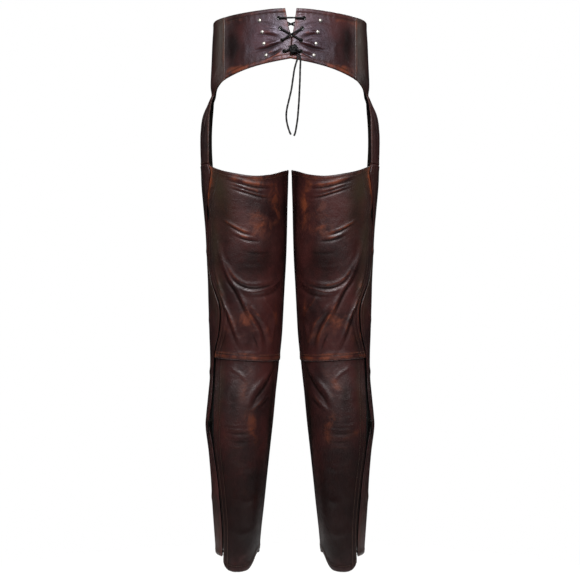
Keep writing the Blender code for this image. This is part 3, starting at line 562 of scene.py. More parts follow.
# Painted shade: the dark attribute, broken by the mottling, darkens the colour towards near black
shade_and_mottle = node(tree, "Math", {0: broken, 1: 0.8, 2: dark}, operation="MULTIPLY_ADD")
depth = node(
    tree,
    "MapRange",
    {"Value": shade_and_mottle.outputs[0], "From Min": 0.05, "From Max": 1.0, "To Max": 0.85},
    interpolation_type="SMOOTHSTEP",
).outputs["Result"]
hide = node(tree, "Mix", {"Factor": depth, 6: reds.outputs[2], 7: linear("#100807")}, data_type="RGBA")
tree.links.new(hide.outputs[2], shader.inputs["Base Color"])
gloss = node(
    tree, "MapRange", {"Value": smoky, "From Min": 0.3, "From Max": 0.7, "To Min": 0.32, "To Max": 0.48}
)
tree.links.new(gloss.outputs["Result"], shader.inputs["Roughness"])
# The gloss is lowered where the painted shade lies
waxed = node(tree, "MapRange", {"Value": depth, "From Max": 0.85, "To Min": 0.60, "To Max": 0.26})
tree.links.new(waxed.outputs["Result"], shader.inputs["Specular IOR Level"])
bloomed = node(tree, "MapRange", {"Value": olive, "From Min": 0.0, "From Max": -1.0})
sheen = node(
    tree,
    "Mix",
    {"Factor": bloomed.outputs["Result"], 6: linear("#fcf8fa"), 7: linear("#f0e4ff")},
    data_type="RGBA",
)
tree.links.new(sheen.outputs[2], shader.inputs["Specular Tint"])
pebble = node(tree, "TexVoronoi", {"Vector": place, "Scale": 480.0}, feature="SMOOTH_F1")
crinkle = node(
    tree, "TexNoise", {"Vector": place, "Scale": 60.0, "Detail": 6.0, "Roughness": 0.55, "Distortion": 0.35}
)
wave = node(tree, "Bump", {"Height": crinkle.outputs["Fac"], "Strength": 0.4, "Distance": 0.0022})
grain = node(
    tree,
    "Bump",
    {
        "Height": pebble.outputs["Distance"],
        "Strength": 0.35,
        "Distance": 0.0005,
        "Normal": wave.outputs["Normal"],
    },
)
tree.links.new(grain.outputs["Normal"], shader.inputs["Normal"])

# The flesh side of the same hide: brushed suede, nearly black, with no gloss.
suede, tree, shader = new_finish("suede_flesh_side", "#1d1613", 0.95, Specular_IOR_Level=0.15)
place = node(tree, "TexCoord")
nap = node(tree, "TexNoise", {"Vector": place.outputs["Object"], "Scale": 600.0, "Detail": 4.0})
fibres = node(tree, "Bump", {"Height": nap.outputs["Fac"], "Strength": 0.6, "Distance": 0.0005})
tree.links.new(fibres.outputs["Normal"], shader.inputs["Normal"])

# Bonded polyester sewing thread, brown, with a slight shine.
thread, tree, shader = new_finish("brown_bonded_thread", "#4c3427", 0.45)
place = node(tree, "TexCoord")
twist = node(tree, "TexNoise", {"Vector": place.outputs["Object"], "Scale": 2200.0})
ply = node(tree, "Bump", {"Height": twist.outputs["Fac"], "Strength": 0.4, "Distance": 0.0001})
tree.links.new(ply.outputs["Normal"], shader.inputs["Normal"])


def sewn_panel(part, side_name, face, wear_and_shade, replaced, cols, rows, skipped=(1, 1)):
    """One cut piece of hide and the lockstitches along columns and rows of its grid.
    Stitches skip so many rows of the grid at the top, and so many columns at both sides."""
    name = part + "_" + side_name
    panel = leather_shell(name, face, wear_and_shade, [replaced + "_" + side_name], [cowhide, suede])
    over, beside = skipped
    runs = [grid_run(face[over:-1], col=c) for c in cols]
    runs += [grid_run(face[:, beside:-beside], row=r) for r in rows]
    stitches = sew(part.removesuffix("_panel") + "_stitching_" + side_name, runs, thread)
    return panel


# Along the edges, near() takes how far inside the edge its middle is, and its reach, in metres.
for side_name, side in SIDES:
    seam_x = YOKE_EDGES[-1].x - SEAM
    across = graded(0, seam_x + UNDERLAP, GRID, (seam_x,)) / seam_x
    down = graded(0, YOKE_HEIGHT, GRID, (BAND - SEW_IN, YOKE_HEIGHT - BAND + SEW_IN)) / YOKE_HEIGHT
    u, v = np.meshgrid(across, down)
    top = column(YOKE_EDGES, "top", u * seam_x, key="x")
    bottom = column(YOKE_EDGES, "bottom", u * seam_x, key="x")
    z = top + (bottom - top) * v
    laced = column(CENTRE_EDGES, side_name + "_x", z)
    x = laced + (side * seam_x - laced) * u
    off_centre = np.abs(x)
    lift, rubs, painted_shade, olives = wear_and_shade_of(YOKE_CREASES, YOKE_PATCHES, off_centre, z)
    from_top = top - z
    from_bottom = z - bottom
    from_lace = np.abs(x - laced)
    calm = np.ones_like(z)
    for row in FIXINGS:
        eyelet_x = getattr(row, "eyelet_" + side_name)
        for hole_x, hole_z in ((eyelet_x, row.eyelet_z), (side * row.stud_x, row.stud_z)):
            calm -= 0.8 * near(np.hypot(x - hole_x, z - hole_z), 0.006)
    pucker = 0.00013 * np.sin(off_centre / 0.0105 * math.tau + 1.7 * np.sin(off_centre / 0.031))
    pucker *= near(from_top - BAND, 0.007) + near(from_bottom - BAND, 0.007)
    lift = lift * calm + turned_edge(from_top) + turned_edge(from_bottom)
    lift = lift + turned_edge(from_lace, 0.006) * 0.6 + pucker + tucked((u - 1) * seam_x - 0.0004)
    rubs = rubs + 0.5 * near(from_bottom - 0.004, 0.0045) + 0.3 * near(from_top - 0.005, 0.004)
    rubs = rubs + 0.5 * near(from_lace - 0.002, 0.003)
    # Painted shade: darker in the stitch grooves of the turned bands and along the folded top and bottom
    # edges
    painted_shade = painted_shade + 0.5 * near(from_bottom - BAND + SEW_IN, 0.0014)
    painted_shade = painted_shade + 0.5 * near(from_top - BAND + SEW_IN, 0.0014)
    painted_shade = painted_shade + 0.8 * near(from_top, 0.0012) + 0.8 * near(from_bottom, 0.0012)
    face = back_surface(x, z, lift)
    rows = [nearest(from_edge[:, 5], BAND - SEW_IN) for from_edge in (from_top, from_bottom)]
    wear_and_shade = (rubs, painted_shade, olives)
    half = sewn_panel("yoke", side_name, face, wear_and_shade, "back_yoke", (), rows)
    cutter = None
    for row in FIXINGS:
        x = getattr(row, "eyelet_" + side_name)
        hole = surface_frame(back_surface, x, row.eyelet_z)
        bpy.ops.object.select_all(action="DESELECT")
        bpy.ops.mesh.primitive_cylinder_add(vertices=20, radius=EYELET_HOLE, depth=0.02)
        bpy.context.object.data.transform(hole)
        if cutter is not None:
            cutter.select_set(True)
            bpy.context.view_layer.objects.active = cutter
            bpy.ops.object.join()
        cutter = bpy.context.object
    punched = half.modifiers.new("punched", "BOOLEAN")
    punched.operation = "DIFFERENCE"
    punched.object = cutter
    apply_modifiers(half)
    bpy.data.objects.remove(cutter)

# Eyelets
# Eight steel eyelets, plated in gunmetal and worn, each one turned ring with a barrel that passes through
# the leather and is rolled over the edge of the hole.
gunmetal, tree, shader = new_finish("worn_gunmetal_plate", "#262422", 0.45, Metallic=1.0)
place = node(tree, "TexCoord")
worn = node(tree, "TexNoise", {"Vector": place.outputs["Object"], "Scale": 700.0, "Detail": 3.0})
tint = node(
    tree,
    "Mix",
    {"Factor": worn.outputs["Fac"], 6: linear("#121110"), 7: linear("#3f3b37")},
    data_type="RGBA",
)
tree.links.new(tint.outputs[2], shader.inputs["Base Color"])


def turn_by_hand(name, segments, steps):
    """An edge loop drawn in or out and up or down in steps of (radius, height), as a shell of revolution."""
    radius, height = max(steps[0][0], 1e-5), steps[0][1]
    bpy.ops.object.select_all(action="DESELECT")
    bpy.ops.mesh.primitive_circle_add(vertices=segments, radius=radius, location=(0, 0, 0))
    made = bpy.context.object
    made.name = made.data.name = name
    bpy.ops.object.mode_set(mode="EDIT")
    bpy.ops.mesh.select_all(action="SELECT")
    bpy.ops.transform.translate(value=(0, 0, height))
    for wide, high in steps[1:]:
        bpy.ops.mesh.extrude_edges_move(TRANSFORM_OT_translate={"value": (0, 0, high - height)})
        share = max(wide, 1e-5) / radius
        bpy.ops.transform.resize(value=(share, share, 1.0), center_override=(0, 0, 0))
        radius, height = max(wide, 1e-5), high
    bpy.ops.mesh.select_all(action="SELECT")
    bpy.ops.mesh.remove_doubles(threshold=0.00004)
    bpy.ops.mesh.normals_make_consistent(inside=False)
    bpy.ops.object.mode_set(mode="OBJECT")
    made.data.shade_smooth()
    return made


def copy_to(template, name, place, finish, body, replaced):
    """A copy of a finished piece with its place in its own mesh."""
    mesh = template.data.copy()
    mesh.name = name
    mesh.transform(place)
    mesh.materials.clear()
    mesh.materials.append(finish)
    made = bpy.data.objects.new(name, mesh)
    bpy.context.scene.collection.objects.link(made)
    return fitted(made, replaced, body)


eyelet_steps = [
    (0.00235, -0.0018),
    (0.00235, 0.0006),
    (0.0026, 0.0011),
    (0.0031, 0.0013),
    (0.0036, 0.0012),
    (0.0040, 0.0008),
    (0.0041, 0.0004),
    (0.0030, 0.0002),
    (0.0030, -0.0018),
    (0.00235, -0.0018),
]
eyelet = turn_by_hand("eyelet_pattern", 28, eyelet_steps)
for side_name, side in SIDES:
    for number, row in enumerate(FIXINGS, 1):
        spot = surface_frame(back_surface, getattr(row, "eyelet_" + side_name), row.eyelet_z)
        name = f"eyelet_{side_name}_{number}"
        copy_to(eyelet, name + "_ring", spot, gunmetal, "root", [name])
bpy.data.objects.remove(eyelet)

# Studs
# Eight domed nickel rivets in two slanting rows, seven millimetres across, whose caps are pressed from
# sheet and polished. They are set beside the eyelets, and their edge sits in the leather.
nickel, tree, shader = new_finish("polished_nickel", "#d8d4cc", 0.3, Metallic=1.0)
place = node(tree, "TexCoord")
haze = node(tree, "TexNoise", {"Vector": place.outputs["Object"], "Scale": 900.0, "Detail": 3.0})
rough = node(tree, "MapRange", {"Value": haze.outputs["Fac"], "To Min": 0.38, "To Max": 0.52})
tree.links.new(rough.outputs["Result"], shader.inputs["Roughness"])
stud_steps = [
    (0.0, -0.0004),
    (0.0030, -0.0004),
    (0.0035, -0.0003),
    (0.0037, 0.0002),
    (0.0036, 0.0007),
    (0.0031, 0.0014),
    (0.0023, 0.0020),
    (0.0013, 0.00235),
    (0.0005, 0.00245),
    (0.0, 0.00246),
]
stud = turn_by_hand("stud_pattern", 28, stud_steps)
for side_name, side in SIDES:
    for number, row in enumerate(FIXINGS, 1):
        spot = surface_frame(back_surface, side * row.stud_x, row.stud_z)
        name = f"stud_{side_name}_{number}"
        copy_to(stud, name + "_cap", spot, nickel, "root", [name])
bpy.data.objects.remove(stud)

# Lacing
# The same cord, laced from the foot: up one side and down the other, across in a bar at the top, crossed
# behind the gap and before it. Its two ends are tied in a doubled knot at the foot.
KNOT = (0.0064, -0.0440)
BEFORE = 0.0036
BEHIND = -0.0038
CROSSED = 0.0038
THROUGH = 0.0044
ENTRY = 0.0008
left_holes = [(row.eyelet_left, row.eyelet_z) for row in FIXINGS]
right_holes = [(row.eyelet_right, row.eyelet_z) for row in FIXINGS]


def through(hole, towards, from_outside):
    """Stations through one eyelet, arriving from towards and leaving on the other face."""
    reach = math.hypot(towards[0] - hole[0], towards[1] - hole[1])
    step_x = (towards[0] - hole[0]) / reach
    step_z = (towards[1] - hole[1]) / reach
    out = BEFORE if from_outside else BEHIND
    return [
        (hole[0] + THROUGH * step_x, hole[1] + THROUGH * step_z, out),
        (hole[0] + ENTRY * step_x, hole[1] + ENTRY * step_z, 0.8 * out),
        (hole[0], hole[1], -LEATHER / 2),
    ]


def strand(start, end, out):
    """From one hole to the next on one face: out of the first, over the middle and into the second."""
    outside = out > 0
    middle = ((start[0] + end[0]) / 2, (start[1] + end[1]) / 2, out)
    return [*through(start, end, outside)[1::-1], middle, *through(end, start, outside)]


route = [(KNOT[0] - 0.0060, KNOT[1] + 0.0010, BEFORE + 0.0012), *through(left_holes[3], KNOT, True)]
route += strand(left_holes[3], right_holes[2], BEHIND)
route += strand(right_holes[2], left_holes[1], BEFORE)
route += strand(left_holes[1], right_holes[0], BEHIND)
route += strand(right_holes[0], left_holes[0], BEFORE)
route += strand(left_holes[0], right_holes[1], BEHIND - CROSSED)
route += strand(right_holes[1], left_holes[2], BEFORE + CROSSED)
route += strand(left_holes[2], right_holes[3], BEHIND - CROSSED)
route += [*through(right_holes[3], KNOT, True)[1::-1], (KNOT[0] + 0.0060, KNOT[1] + 0.0006, BEFORE + 0.0012)]
laced = np.array([back_surface(np.array(x), np.array(z), out) for x, z, out in route])
crossing = braided_cord("lace_through_eyelets", smooth_route(laced, ROUTE_STEP), CORD_RADIUS, waxed_cotton)
fitted(crossing, ["lace_crossing"])

# The knot: two turns of the doubled cord drawn tight over two more that cross them
Turn = namedtuple("Turn", "tilt turns radius pitch out")
KNOT_TURNS = [
    Turn(12.0, 3.6, 0.0066, 0.0040, 0.0058),
    Turn(78.0, 2.9, 0.0056, 0.0042, 0.0076),
    Turn(-38.0, 1.6, 0.0072, 0.0046, 0.0068),
]
knot_frame = surface_frame(back_surface, *KNOT)
for number, row in enumerate(KNOT_TURNS, 1):
    coil = []
    for t in np.linspace(0, row.turns, round(row.turns * 16)):
        swing = math.tau * t
        turned = (row.radius * math.cos(swing), 0.62 * row.radius * math.sin(swing))
        local = Vector((row.pitch * (t - row.turns / 2), *turned))
        local = Matrix.Rotation(math.radians(row.tilt), 3, "Z") @ local
        coil.append(tuple(knot_frame @ (local + Vector((0, 0, row.out)))))
    turn = braided_cord(f"lace_knot_turn_{number}", smooth_route(coil, ROUTE_STEP), CORD_RADIUS, waxed_cotton)
    fitted(turn, ["lace_knot"] if number == 1 else ())

# Hip sides
# One panel on each hip, from the side seam of the yoke round to the belt. Below the belt it narrows to the
# strap that carries the leg, and its edges are turned and sewn.
SIDE_TOP = 0.0235
FRONT_TOP = 0.0190
SIDE_FOOT = -0.2520
HIP_WIDTH = 0.10
HIP_LENGTH = 0.275
HIP_GRID = 0.0020
HIP_BAND = 0.0075
YOKE_FOOT = -0.094
HIP_CREASES = [
    Crease(5.0, 1.6, 0.25, ((14, -122), (10, -160), (8, -205), (9, -246))),
    Crease(3.5, -1.2, 0.4, ((26, -128), (21, -170), (19, -215), (20, -248))),
    Crease(4.0, -1.0, 0.3, ((-2, -118), (-4, -150), (-3, -188))),
    Crease(6.0, 1.2, 0.1, ((-16, -110), (-20, -150), (-22, -200), (-20, -244))),
    Crease(4.0, 0.9, 0.2, ((24, -70), (15, -94), (4, -112))),
    Crease(3.5, -0.8, 0.3, ((34, -78), (23, -100), (12, -116))),
    Crease(5.0, 0.9, 0.1, ((-44, -18), (-30, -48), (-17, -86))),
    Crease(4.0, -0.8, 0.2, ((-52, -10), (-38, -44), (-24, -82))),
]
HIP_PATCHES = [
    Patch(28, -20, 24, 70, 0, 0, 0.8),
    Patch(12, -254, 14, 5, 0.8, 0, 0),
    Patch(30, 14, 12, 9, 0.5, 0, 0.2),
    Patch(4, -180, 8, 60, 0.15, 0, 0.2),
    Patch(-50, -24, 30, 26, 0.25, 0, 0),
]


def hip_scale(z):
    """The metres that one degree takes up round the hips."""
    half = column(HIPS, "half_width", z) - column(HIPS, "centre_x", z)
    return math.radians(1.0) * 0.5 * (half + column(HIPS, "depth", z))


for side_name, side in SIDES:
    across = graded(0, HIP_WIDTH, HIP_GRID, (BAND - 0.002,)) / HIP_WIDTH
    down = graded(0, HIP_LENGTH + UNDERLAP, HIP_GRID, (HIP_LENGTH,)) / HIP_LENGTH
    u, v = np.meshgrid(across, down)
    rear_at_top = hip_angle(YOKE_EDGES[-1].x, SIDE_TOP)
    front_at_top = -hip_angle(HIPS[0].front_x, SIDE_TOP)
    top_angle = rear_at_top + (front_at_top - rear_at_top) * u
    behind = top_angle > 0
    high = np.where(behind, YOKE_EDGES[-1].top, FRONT_TOP)
    top = SIDE_TOP + (high - SIDE_TOP) * np.abs(top_angle / np.where(behind, rear_at_top, front_at_top))
    z = top + (SIDE_FOOT - top) * v
    rear = hip_angle(column(HIPS, "rear_x", z), z)
    front = -hip_angle(column(HIPS, "front_x", z), z)
    angle = rear + (front - rear) * u
    scale = hip_scale(z)
    lift, rubs, painted_shade, olives = wear_and_shade_of(HIP_CREASES, HIP_PATCHES, angle * scale, z, hip_scale)
    from_top = top - z
    from_foot = z - SIDE_FOOT
    from_rear = (rear - angle) * scale
    from_front = (angle - front) * scale
    slim = np.clip((from_rear + from_front - 0.012) / 0.03, 0.15, 1.0)
    lift = lift * slim + turned_edge(from_top) + tucked(-from_foot)
    lift = lift + turned_edge(from_rear, HIP_BAND) * np.where(z > YOKE_FOOT, 1.0, 0.7)
    lift = lift + turned_edge(from_front, HIP_BAND) * 0.7
    rubs = rubs + 0.4 * near(from_rear - 0.003, 0.003) + 0.3 * near(from_front - 0.003, 0.003)
    # Painted shade along the folded top edge and at the rear band's edge
    painted_shade = painted_shade + 0.6 * near(from_top, 0.0014) + 0.4 * near(from_rear - HIP_BAND, 0.0014)
    face = hip_surface(side, angle, z, lift)
    cols = [nearest(from_rear[5], 0.0060), nearest(from_rear[5], 0.0026), nearest(from_front[5], 0.0060)]
    rows = [nearest(from_top[:, 5], BAND - SEW_IN), nearest(from_foot[:, 5], 0.0036)]
    wear_and_shade = (rubs, painted_shade, olives)
    sewn_panel("hip_panel", side_name, face, wear_and_shade, "hip_side", cols, rows)

# Front leg panels
# One piece of hide for each leg, from the inner seam round the front and the outer side to the zip. Long and
# unlined, it breaks over the thigh, the knee and the ankle; its hem and its zip edge are turned and sewn.
Leg = namedtuple("Leg", "z centre_x half_x half_y centre_y")
LEGS = [
    Leg(-0.252, 0.0882, 0.0848, 0.095, 0.0000),
    Leg(-0.290, 0.0879, 0.0839, 0.093, 0.0010),
    Leg(-0.330, 0.0868, 0.0816, 0.091, 0.0020),
    Leg(-0.373, 0.0853, 0.0793, 0.089, 0.0030),
    Leg(-0.443, 0.0847, 0.0764, 0.086, 0.0050),
    Leg(-0.480, 0.0850, 0.0745, 0.083, 0.0065),
    Leg(-0.510, 0.0855, 0.0734, 0.081, 0.0080),
    Leg(-0.536, 0.0858, 0.0724, 0.079, 0.0090),
    Leg(-0.582, 0.0865, 0.0704, 0.076, 0.0110),
    Leg(-0.620, 0.0878, 0.0679, 0.074, 0.0120),
    Leg(-0.660, 0.0900, 0.0660, 0.073, 0.0100),
    Leg(-0.705, 0.0945, 0.0654, 0.072, 0.0060),
    Leg(-0.745, 0.0981, 0.0651, 0.071, 0.0030),
    Leg(-0.792, 0.0986, 0.0604, 0.069, 0.0010),
    Leg(-0.862, 0.0995, 0.0537, 0.067, 0.0010),
    Leg(-0.908, 0.1007, 0.0501, 0.066, 0.0020),
    Leg(-0.955, 0.1017, 0.0458, 0.066, 0.0030),
    Leg(-1.030, 0.1020, 0.0400, 0.066, 0.0040),
]
# The side zip: the angle of its middle round the leg, and the width by which the back panel stands open
Zip = namedtuple("Zip", "z angle opening")
ZIP_LINE = [
    Zip(-0.252, 37.0, 0.002),
    Zip(-0.272, 41.0, 0.002),
    Zip(-0.290, 38.0, 0.002),
    Zip(-0.330, 28.0, 0.003),
    Zip(-0.350, 24.5, 0.010),
    Zip(-0.366, 22.4, 0.003),
    Zip(-0.390, 21.2, 0.001),
    Zip(-0.420, 20.0, 0.001),
    Zip(-0.450, 20.0, 0.001),
    Zip(-0.480, 29.0, 0.001),
    Zip(-0.500, 39.0, 0.001),
    Zip(-0.518, 46.0, 0.001),
    Zip(-0.560, 47.0, 0.001),
    Zip(-0.585, 42.0, 0.001),
    Zip(-0.605, 34.0, 0.002),
    Zip(-0.655, 27.0, 0.005),
    Zip(-0.690, 29.5, 0.007),
    Zip(-0.745, 31.5, 0.007),
    Zip(-0.770, 32.0, 0.007),
    Zip(-0.810, 37.0, 0.003),
    Zip(-0.850, 43.0, 0.001),
    Zip(-0.885, 47.0, 0.001),
    Zip(-0.940, 52.0, 0.001),
    Zip(-1.030, 48.5, 0.001),
]
ZIP_GAP = 0.0030
SLIDER_Z = -0.745
SLIDER_ROOM = 0.0095
SLIDER_REACH = 0.024
INNER_SEAM = 180.0
KNEE_SEAM = -0.6195
KNEE_LAP = 0.0070
HEM_BAND = 0.0130
FRONT_HEM = -1.0020
FRONT_WIDTH = 0.30
FRONT_LENGTH = 0.75
FRONT_FOLD = 0.291
Edge = namedtuple("Edge", "angle z")
FRONT_TOP_EDGE = [
    Edge(180.0, -0.2600),
    Edge(225.0, -0.2680),
    Edge(262.0, -0.2700),
    Edge(296.0, -0.2650),
    Edge(312.0, -0.2580),
    Edge(322.0, -0.2534),
    Edge(335.0, -0.2528),
    Edge(360.0, -0.2528),
    Edge(400.0, -0.2528),
]
# Creases of a leg, in degrees round it and millimetres of height
FRONT_CREASES = [
    Crease(9.0, 2.2, 0.35, ((200, -284), (232, -316), (268, -342), (292, -350))),
    Crease(6.0, -1.3, 0.5, ((206, -300), (236, -334), (264, -358), (280, -364))),
    Crease(8.0, 1.6, 0.3, ((204, -322), (228, -362), (252, -396))),
    Crease(9.0, 1.5, 0.25, ((338, -296), (312, -322), (284, -336))),
    Crease(14.0, 1.8, 0.1, ((268, -400), (274, -452), (270, -520))),
    Crease(12.0, 1.4, 0.1, ((338, -330), (346, -410), (344, -505))),
    Crease(10.0, 1.6, 0.25, ((226, -498), (262, -518), (306, -510), (322, -498))),
    Crease(9.0, 2.6, 0.45, ((212, -540), (238, -566), (276, -576), (318, -562), (334, -544))),
    Crease(6.0, -1.4, 0.6, ((222, -566), (250, -586), (286, -590), (312, -580))),
    Crease(8.0, 2.2, 0.4, ((218, -588), (252, -606), (298, -604), (326, -590))),
    Crease(6.0, -1.2, 0.6, ((228, -610), (262, -622), (300, -620))),
    Crease(8.0, 1.7, 0.3, ((212, -652), (244, -634), (286, -636), (318, -656))),
    Crease(9.0, 1.2, 0.2, ((222, -700), (252, -722), (290, -724), (312, -710))),
    Crease(16.0, 2.0, 0.1, ((302, -744), (298, -810), (302, -888))),
    Crease(12.0, 1.5, 0.1, ((236, -760), (240, -820), (234, -880))),
    Crease(8.0, 2.0, 0.3, ((214, -898), (246, -920), (288, -922), (330, -902))),
    Crease(6.0, -1.1, 0.5, ((226, -918), (256, -934), (290, -934))),
    Crease(7.0, 1.6, 0.3, ((222, -944), (258, -962), (300, -958), (334, -940))),
    Crease(6.0, 1.1, 0.2, ((240, -976), (272, -986), (306, -978))),
    Crease(6.0, 1.3, 0.2, ((392, -404), (376, -416), (360, -420))),
    Crease(6.0, 1.2, 0.2, ((398, -520), (382, -542), (362, -556))),
    Crease(6.0, 1.4, 0.2, ((390, -628), (372, -648), (352, -656))),
    Crease(7.0, 1.3, 0.1, ((386, -726), (370, -752), (360, -800))),
    Crease(7.0, 1.2, 0.1, ((398, -868), (378, -890), (352, -896))),
]
FRONT_PATCHES = [
    Patch(262, -330, 34, 26, 0.35, 0, 0),
    Patch(300, -420, 30, 40, 0.2, 0, 0),
    Patch(268, -578, 46, 40, 0.45, 0, 0),
    Patch(240, -760, 24, 50, 0.3, 0, 0),
    Patch(276, -930, 34, 22, 0.35, 0, 0),
    # Patches with dark are painted shade: on the outer side beside the zip, and along the inner seam where
    # the front panel tucks under the back
    Patch(352, -300, 20, 60, 0, 0.2, 0.4),
    Patch(384, -470, 16, 90, 0, 0.1, 0.5),
    Patch(380, -900, 16, 90, 0.1, 0, 0.35),
    Patch(196, -600, 12, 300, 0, 0.5, 0),
]


def leg_surface(side, angle, z, out):
    """Points on a leg: angle 0 is the outer side, 90 the back, 180 the inner side and 270 the front."""
    half_x = column(LEGS, "half_x", z) + out
    half_y = column(LEGS, "half_y", z) + out
    turn = np.radians(angle)
    x = column(LEGS, "centre_x", z) + half_x * np.cos(turn)
    y = column(LEGS, "centre_y", z) - half_y * np.sin(turn)
    return np.stack([side * x, y, z + 0 * turn], axis=-1)


def leg_scale(z):
    """The metres that one degree takes up round a leg."""
    return math.radians(1.0) * 0.5 * (column(LEGS, "half_x", z) + column(LEGS, "half_y", z))


def degrees_of(length, angle, z):
    """The angle that a length along the leg's section takes up."""
    turn = np.radians(angle)
    radius = np.hypot(column(LEGS, "half_x", z) * np.sin(turn), column(LEGS, "half_y", z) * np.cos(turn))
    return np.degrees(length / radius)


def zip_edge(z, way):
    """The angle of the leather's edge beside the zip: way is 1 behind it and -1 before it."""
    middle = column(ZIP_LINE, "angle", z)
    away = (ZIP_GAP + SLIDER_ROOM * near(z - SLIDER_Z, SLIDER_REACH)) / 2
    if way > 0:
        away = away + column(ZIP_LINE, "opening", z)
    return middle + way * degrees_of(away, middle, z)


def knee_tuck(z):
    """How far the calf panel, and the zip beside it, lie in to pass under the thigh panel."""
    below = np.maximum(0.0, (KNEE_SEAM - KNEE_LAP - z) / 0.050)
    above = np.maximum(0.0, (z - KNEE_SEAM - KNEE_LAP) / 0.018)
    return (LEATHER + 4 * SEAM) * np.exp(-(below**2) - above**2)


for side_name, side in SIDES:
    across = graded(-UNDERLAP, FRONT_WIDTH, 0.0027, (0.0, FRONT_FOLD)) / FRONT_WIDTH
    down = graded(0, FRONT_LENGTH, 0.0028, (FRONT_LENGTH - HEM_BAND,)) / FRONT_LENGTH
    u, v = np.meshgrid(across, down)
    first = INNER_SEAM + degrees_of(SEAM, INNER_SEAM, -0.3)
    nominal = first + (360 + column(ZIP_LINE, "angle", -0.26) - first) * u
    top = column(FRONT_TOP_EDGE, "z", nominal, key="angle") - 0.0045 * (u < 0)
    z = top + (FRONT_HEM - top) * v
    last = 360 + zip_edge(z, -1)
    angle = first + (last - first) * u
    scale = leg_scale(z)
    lift, rubs, painted_shade, olives = wear_and_shade_of(FRONT_CREASES, FRONT_PATCHES, angle * scale, z, leg_scale)
    from_top = top - z
    from_hem = z - FRONT_HEM
    from_zip = (last - angle) * scale
    from_inner = (angle - first) * scale
    bands = turned_edge(from_top, 0.008) + turned_edge(from_hem, HEM_BAND) + turned_edge(from_zip, 0.0090)
    lift = lift * (1 - near(from_zip, 0.008)) * (1 - near(from_inner, 0.008)) + bands
    lift = lift + tucked(-from_inner - 0.0003) * (1 + knee_tuck(z) / UNDER)
    rubs = rubs + 0.12 * near(from_zip - 0.002, 0.003) + 0.2 * near(from_hem - 0.003, 0.004)
    # Painted shade in the zip band's stitch groove and where the inner edge tucks under the back panel
    painted_shade = painted_shade + 0.5 * near(from_zip - 0.0074, 0.0014) + 0.6 * near(from_inner, 0.006)
    face = leg_surface(side, angle, z, lift)
    cols = [nearest(from_zip[50], 0.0074)]
    rows = [nearest(from_hem[:, 5], HEM_BAND - SEW_IN)]
    wear_and_shade = (rubs, painted_shade, olives)
    sewn_panel("front_panel", side_name, face, wear_and_shade, "front_leg", cols, rows)

